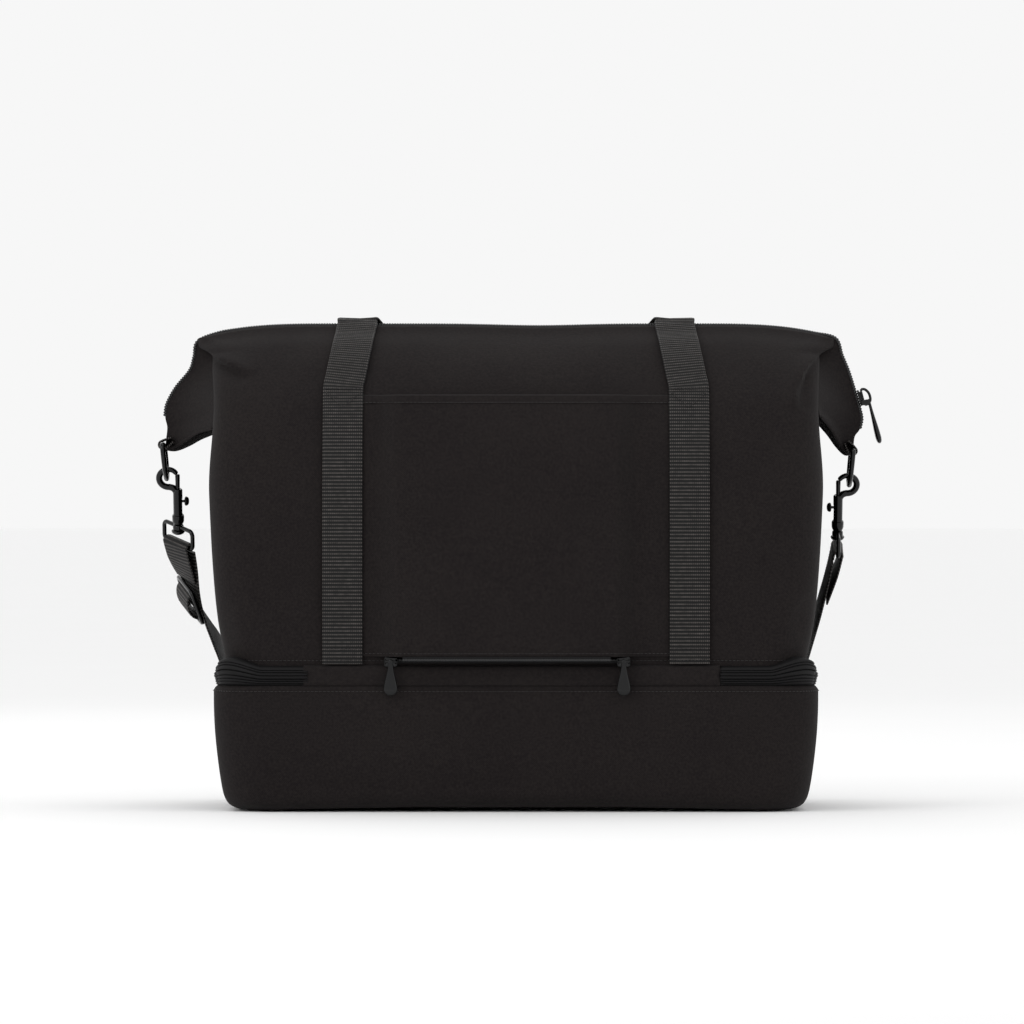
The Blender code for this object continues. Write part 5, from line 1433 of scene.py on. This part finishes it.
# ---------------------------------------------------------------- zip sliders and pulls

def slider_frame(origin, x_axis, y_axis):
    """Frame of a slider: x along the pull's pin, y up along the hanging pull, z out of the zip."""
    z_axis = Vector(x_axis).cross(Vector(y_axis))
    columns = (Vector(x_axis), Vector(y_axis), z_axis)
    turn = Matrix([[column[i] for column in columns] for i in range(3)]).to_4x4()
    return Matrix.Translation(origin) @ turn


def pull_patch(length):
    """Teardrop bead: round eye, thin neck, and a drop whose half width and half thickness swell to its
    foot."""
    share = np.linspace(0.0, 1.0, 45)
    y = 0.0022 - (length + 0.0022) * (1 - (1 - share) ** 1.15)
    foot = np.clip((y + length) / 0.0054, 0.0, 1.0)
    cap = np.sqrt(np.clip(1 - (1 - foot) ** 2, 0.0, 1.0))
    neck = smooth(-y, 0.0, length * 0.85)
    half = (0.0019 + 0.0037 * neck ** 1.15) * np.maximum(cap, 0.03)
    thick = (0.0012 + 0.0012 * neck ** 1.3) * np.maximum(cap ** 0.8, 0.05)
    head = np.sqrt(np.clip(1 - np.clip((y - 0.0004) / 0.0018, 0.0, 1.0) ** 2, 0.0, 1.0))
    half, thick = half * np.maximum(head, 0.05), thick * np.maximum(head, 0.05)
    turn = np.linspace(0.0, 2 * np.pi, 28, endpoint=False)
    cos, sin = np.cos(turn), np.sin(turn)
    grid = np.stack([half[:, None] * np.sign(cos) * np.abs(cos) ** 0.8, np.broadcast_to(y[:, None], (45, 28)),
                     thick[:, None] * np.sign(sin) * np.abs(sin) ** 0.8], -1)
    return patch(grid, rings=True, caps=True)


def slider_patches(size, pin_drop):
    """A two-plate slider: upper and lower plate, a waist between them, a crown over the top and its pin."""
    length, width, thick = size
    eye = np.eye(3)
    face = thick / 2
    parts = [pebble((0, 0, face * 0.62), eye, (length / 2, width / 2, face * 0.42), 5.0),
             pebble((0, 0, -face * 0.62), eye, (length / 2 * 0.96, width / 2 * 0.96, face * 0.42), 5.0),
             pebble((0, 0, 0), eye, (length / 2 * 0.72, width / 2 * 0.72, face * 0.8), 3.0)]
    for side in (-1, 1):
        lug = ((side * PIN_HALF, -pin_drop, face), eye, (0.0007, 0.0021, PIN_STAND))
        parts.append(pebble(*lug, 3.5, sides=18))
    pin = turned((-PIN_HALF - 0.0006, -pin_drop, face + PIN_STAND), (1, 0, 0), (
        (0.0, 0.0005), (0.0002, PIN_RADIUS), (2 * PIN_HALF + 0.0010, PIN_RADIUS),
        (2 * PIN_HALF + 0.0012, 0.0005)), sides=14)
    return [*parts, pin]


class BAG_OT_sliders(bpy.types.Operator):
    """Makes the five zip sliders and their teardrop pulls"""
    bl_idname = "bag.sliders"
    bl_label = "Sliders and Pulls"

    def execute(self, context):
        for name, x, z in (("left", -0.0990, 0.1188), ("right", 0.0850, 0.1188)):
            self.make(f"sleeve_slider_{name}", (x, -0.1090, z), (1, 0, 0), (0, 0, 1), SLIDER_SIZE, 0.0,
                      0.0270)
        for name, side in SIDES:
            self.make(f"base_slider_{name}", (side * 0.0070, 0.1085, 0.1076), (-1, 0, 0), (0, 0, 1),
                      SLIDER_SIZE, 0.0, 0.0290)
        up = (-math.sin(TOP_EDGE_LEAN), 0.0, math.cos(TOP_EDGE_LEAN))
        out = Vector((math.cos(TOP_EDGE_LEAN), 0.0, math.sin(TOP_EDGE_LEAN)))
        origin = Vector((0.2756, 0.0, 0.3285)) + out * 0.0022
        self.make("top_slider", origin, (0, 1, 0), up, (0.0080, 0.0140, 0.0040), 0.0045, 0.0350)
        return {"FINISHED"}

    def make(self, node, origin, x_axis, y_axis, size, pin_drop, length):
        place = slider_frame(Vector(origin), x_axis, y_axis)
        parts = slider_patches(size, pin_drop)
        if node == "top_slider":
            arch = np.array([(0.0, 0.0064, 0.0016), (0.0, 0.0058, 0.0044), (0.0, 0.0028, 0.0066),
                             (0.0, -0.0010, 0.0072),
                             (0.0, -0.0044, 0.0064), (0.0, -0.0062, 0.0040), (0.0, -0.0064, 0.0016)])
            parts.append(tube(catmull(arch, 5), 0.0011, (1.0, 0.0, 0.0), sides=12))
        make_piece(f"{node}_body", moved(place, parts), finish("black_metal"), node, (node,))
        pivot = place @ Matrix.Translation((0.0, -pin_drop, size[2] / 2 + PIN_STAND))
        pull = node.replace("slider", "pull")
        make_piece(f"{pull}_drop", moved(pivot, [pull_patch(length)]), finish("black_metal"), pull, (pull,))


# ---------------------------------------------------------------- add-on

OPERATORS = (
    BAG_OT_stage, BAG_OT_main_compartment, BAG_OT_wings, BAG_OT_top_zip, BAG_OT_base_compartment,
    BAG_OT_base_zip,
    BAG_OT_sleeve, BAG_OT_carry_webbing, BAG_OT_hardware, BAG_OT_shoulder_strap, BAG_OT_sliders,
)


class BAG_PT_panel(bpy.types.Panel):
    """Lists the bag's sizes, colours and pieces"""
    bl_label = "Weekender Bag"
    bl_idname = "BAG_PT_panel"
    bl_space_type = "VIEW_3D"
    bl_region_type = "UI"
    bl_category = "Bag"

    def draw(self, context):
        for group in (context.scene.bag_sizes, context.scene.bag_colours):
            box = self.layout.box()
            for key in group.bl_rna.properties.keys():
                if key not in ("rna_type", "name"):
                    box.prop(group, key)
        for operator in OPERATORS:
            self.layout.operator(operator.bl_idname)


CLASSES = (BagSizes, BagColours, *OPERATORS, BAG_PT_panel)


def register():
    for item in CLASSES:
        bpy.utils.register_class(item)
    bpy.types.Scene.bag_sizes = bpy.props.PointerProperty(type=BagSizes)
    bpy.types.Scene.bag_colours = bpy.props.PointerProperty(type=BagColours)


def unregister():
    del bpy.types.Scene.bag_sizes
    del bpy.types.Scene.bag_colours
    for item in reversed(CLASSES):
        bpy.utils.unregister_class(item)


def main():
    register()
    for operator in OPERATORS:
        group, name = operator.bl_idname.split(".")
        getattr(getattr(bpy.ops, group), name)()


if __name__ == "__main__":
    main()
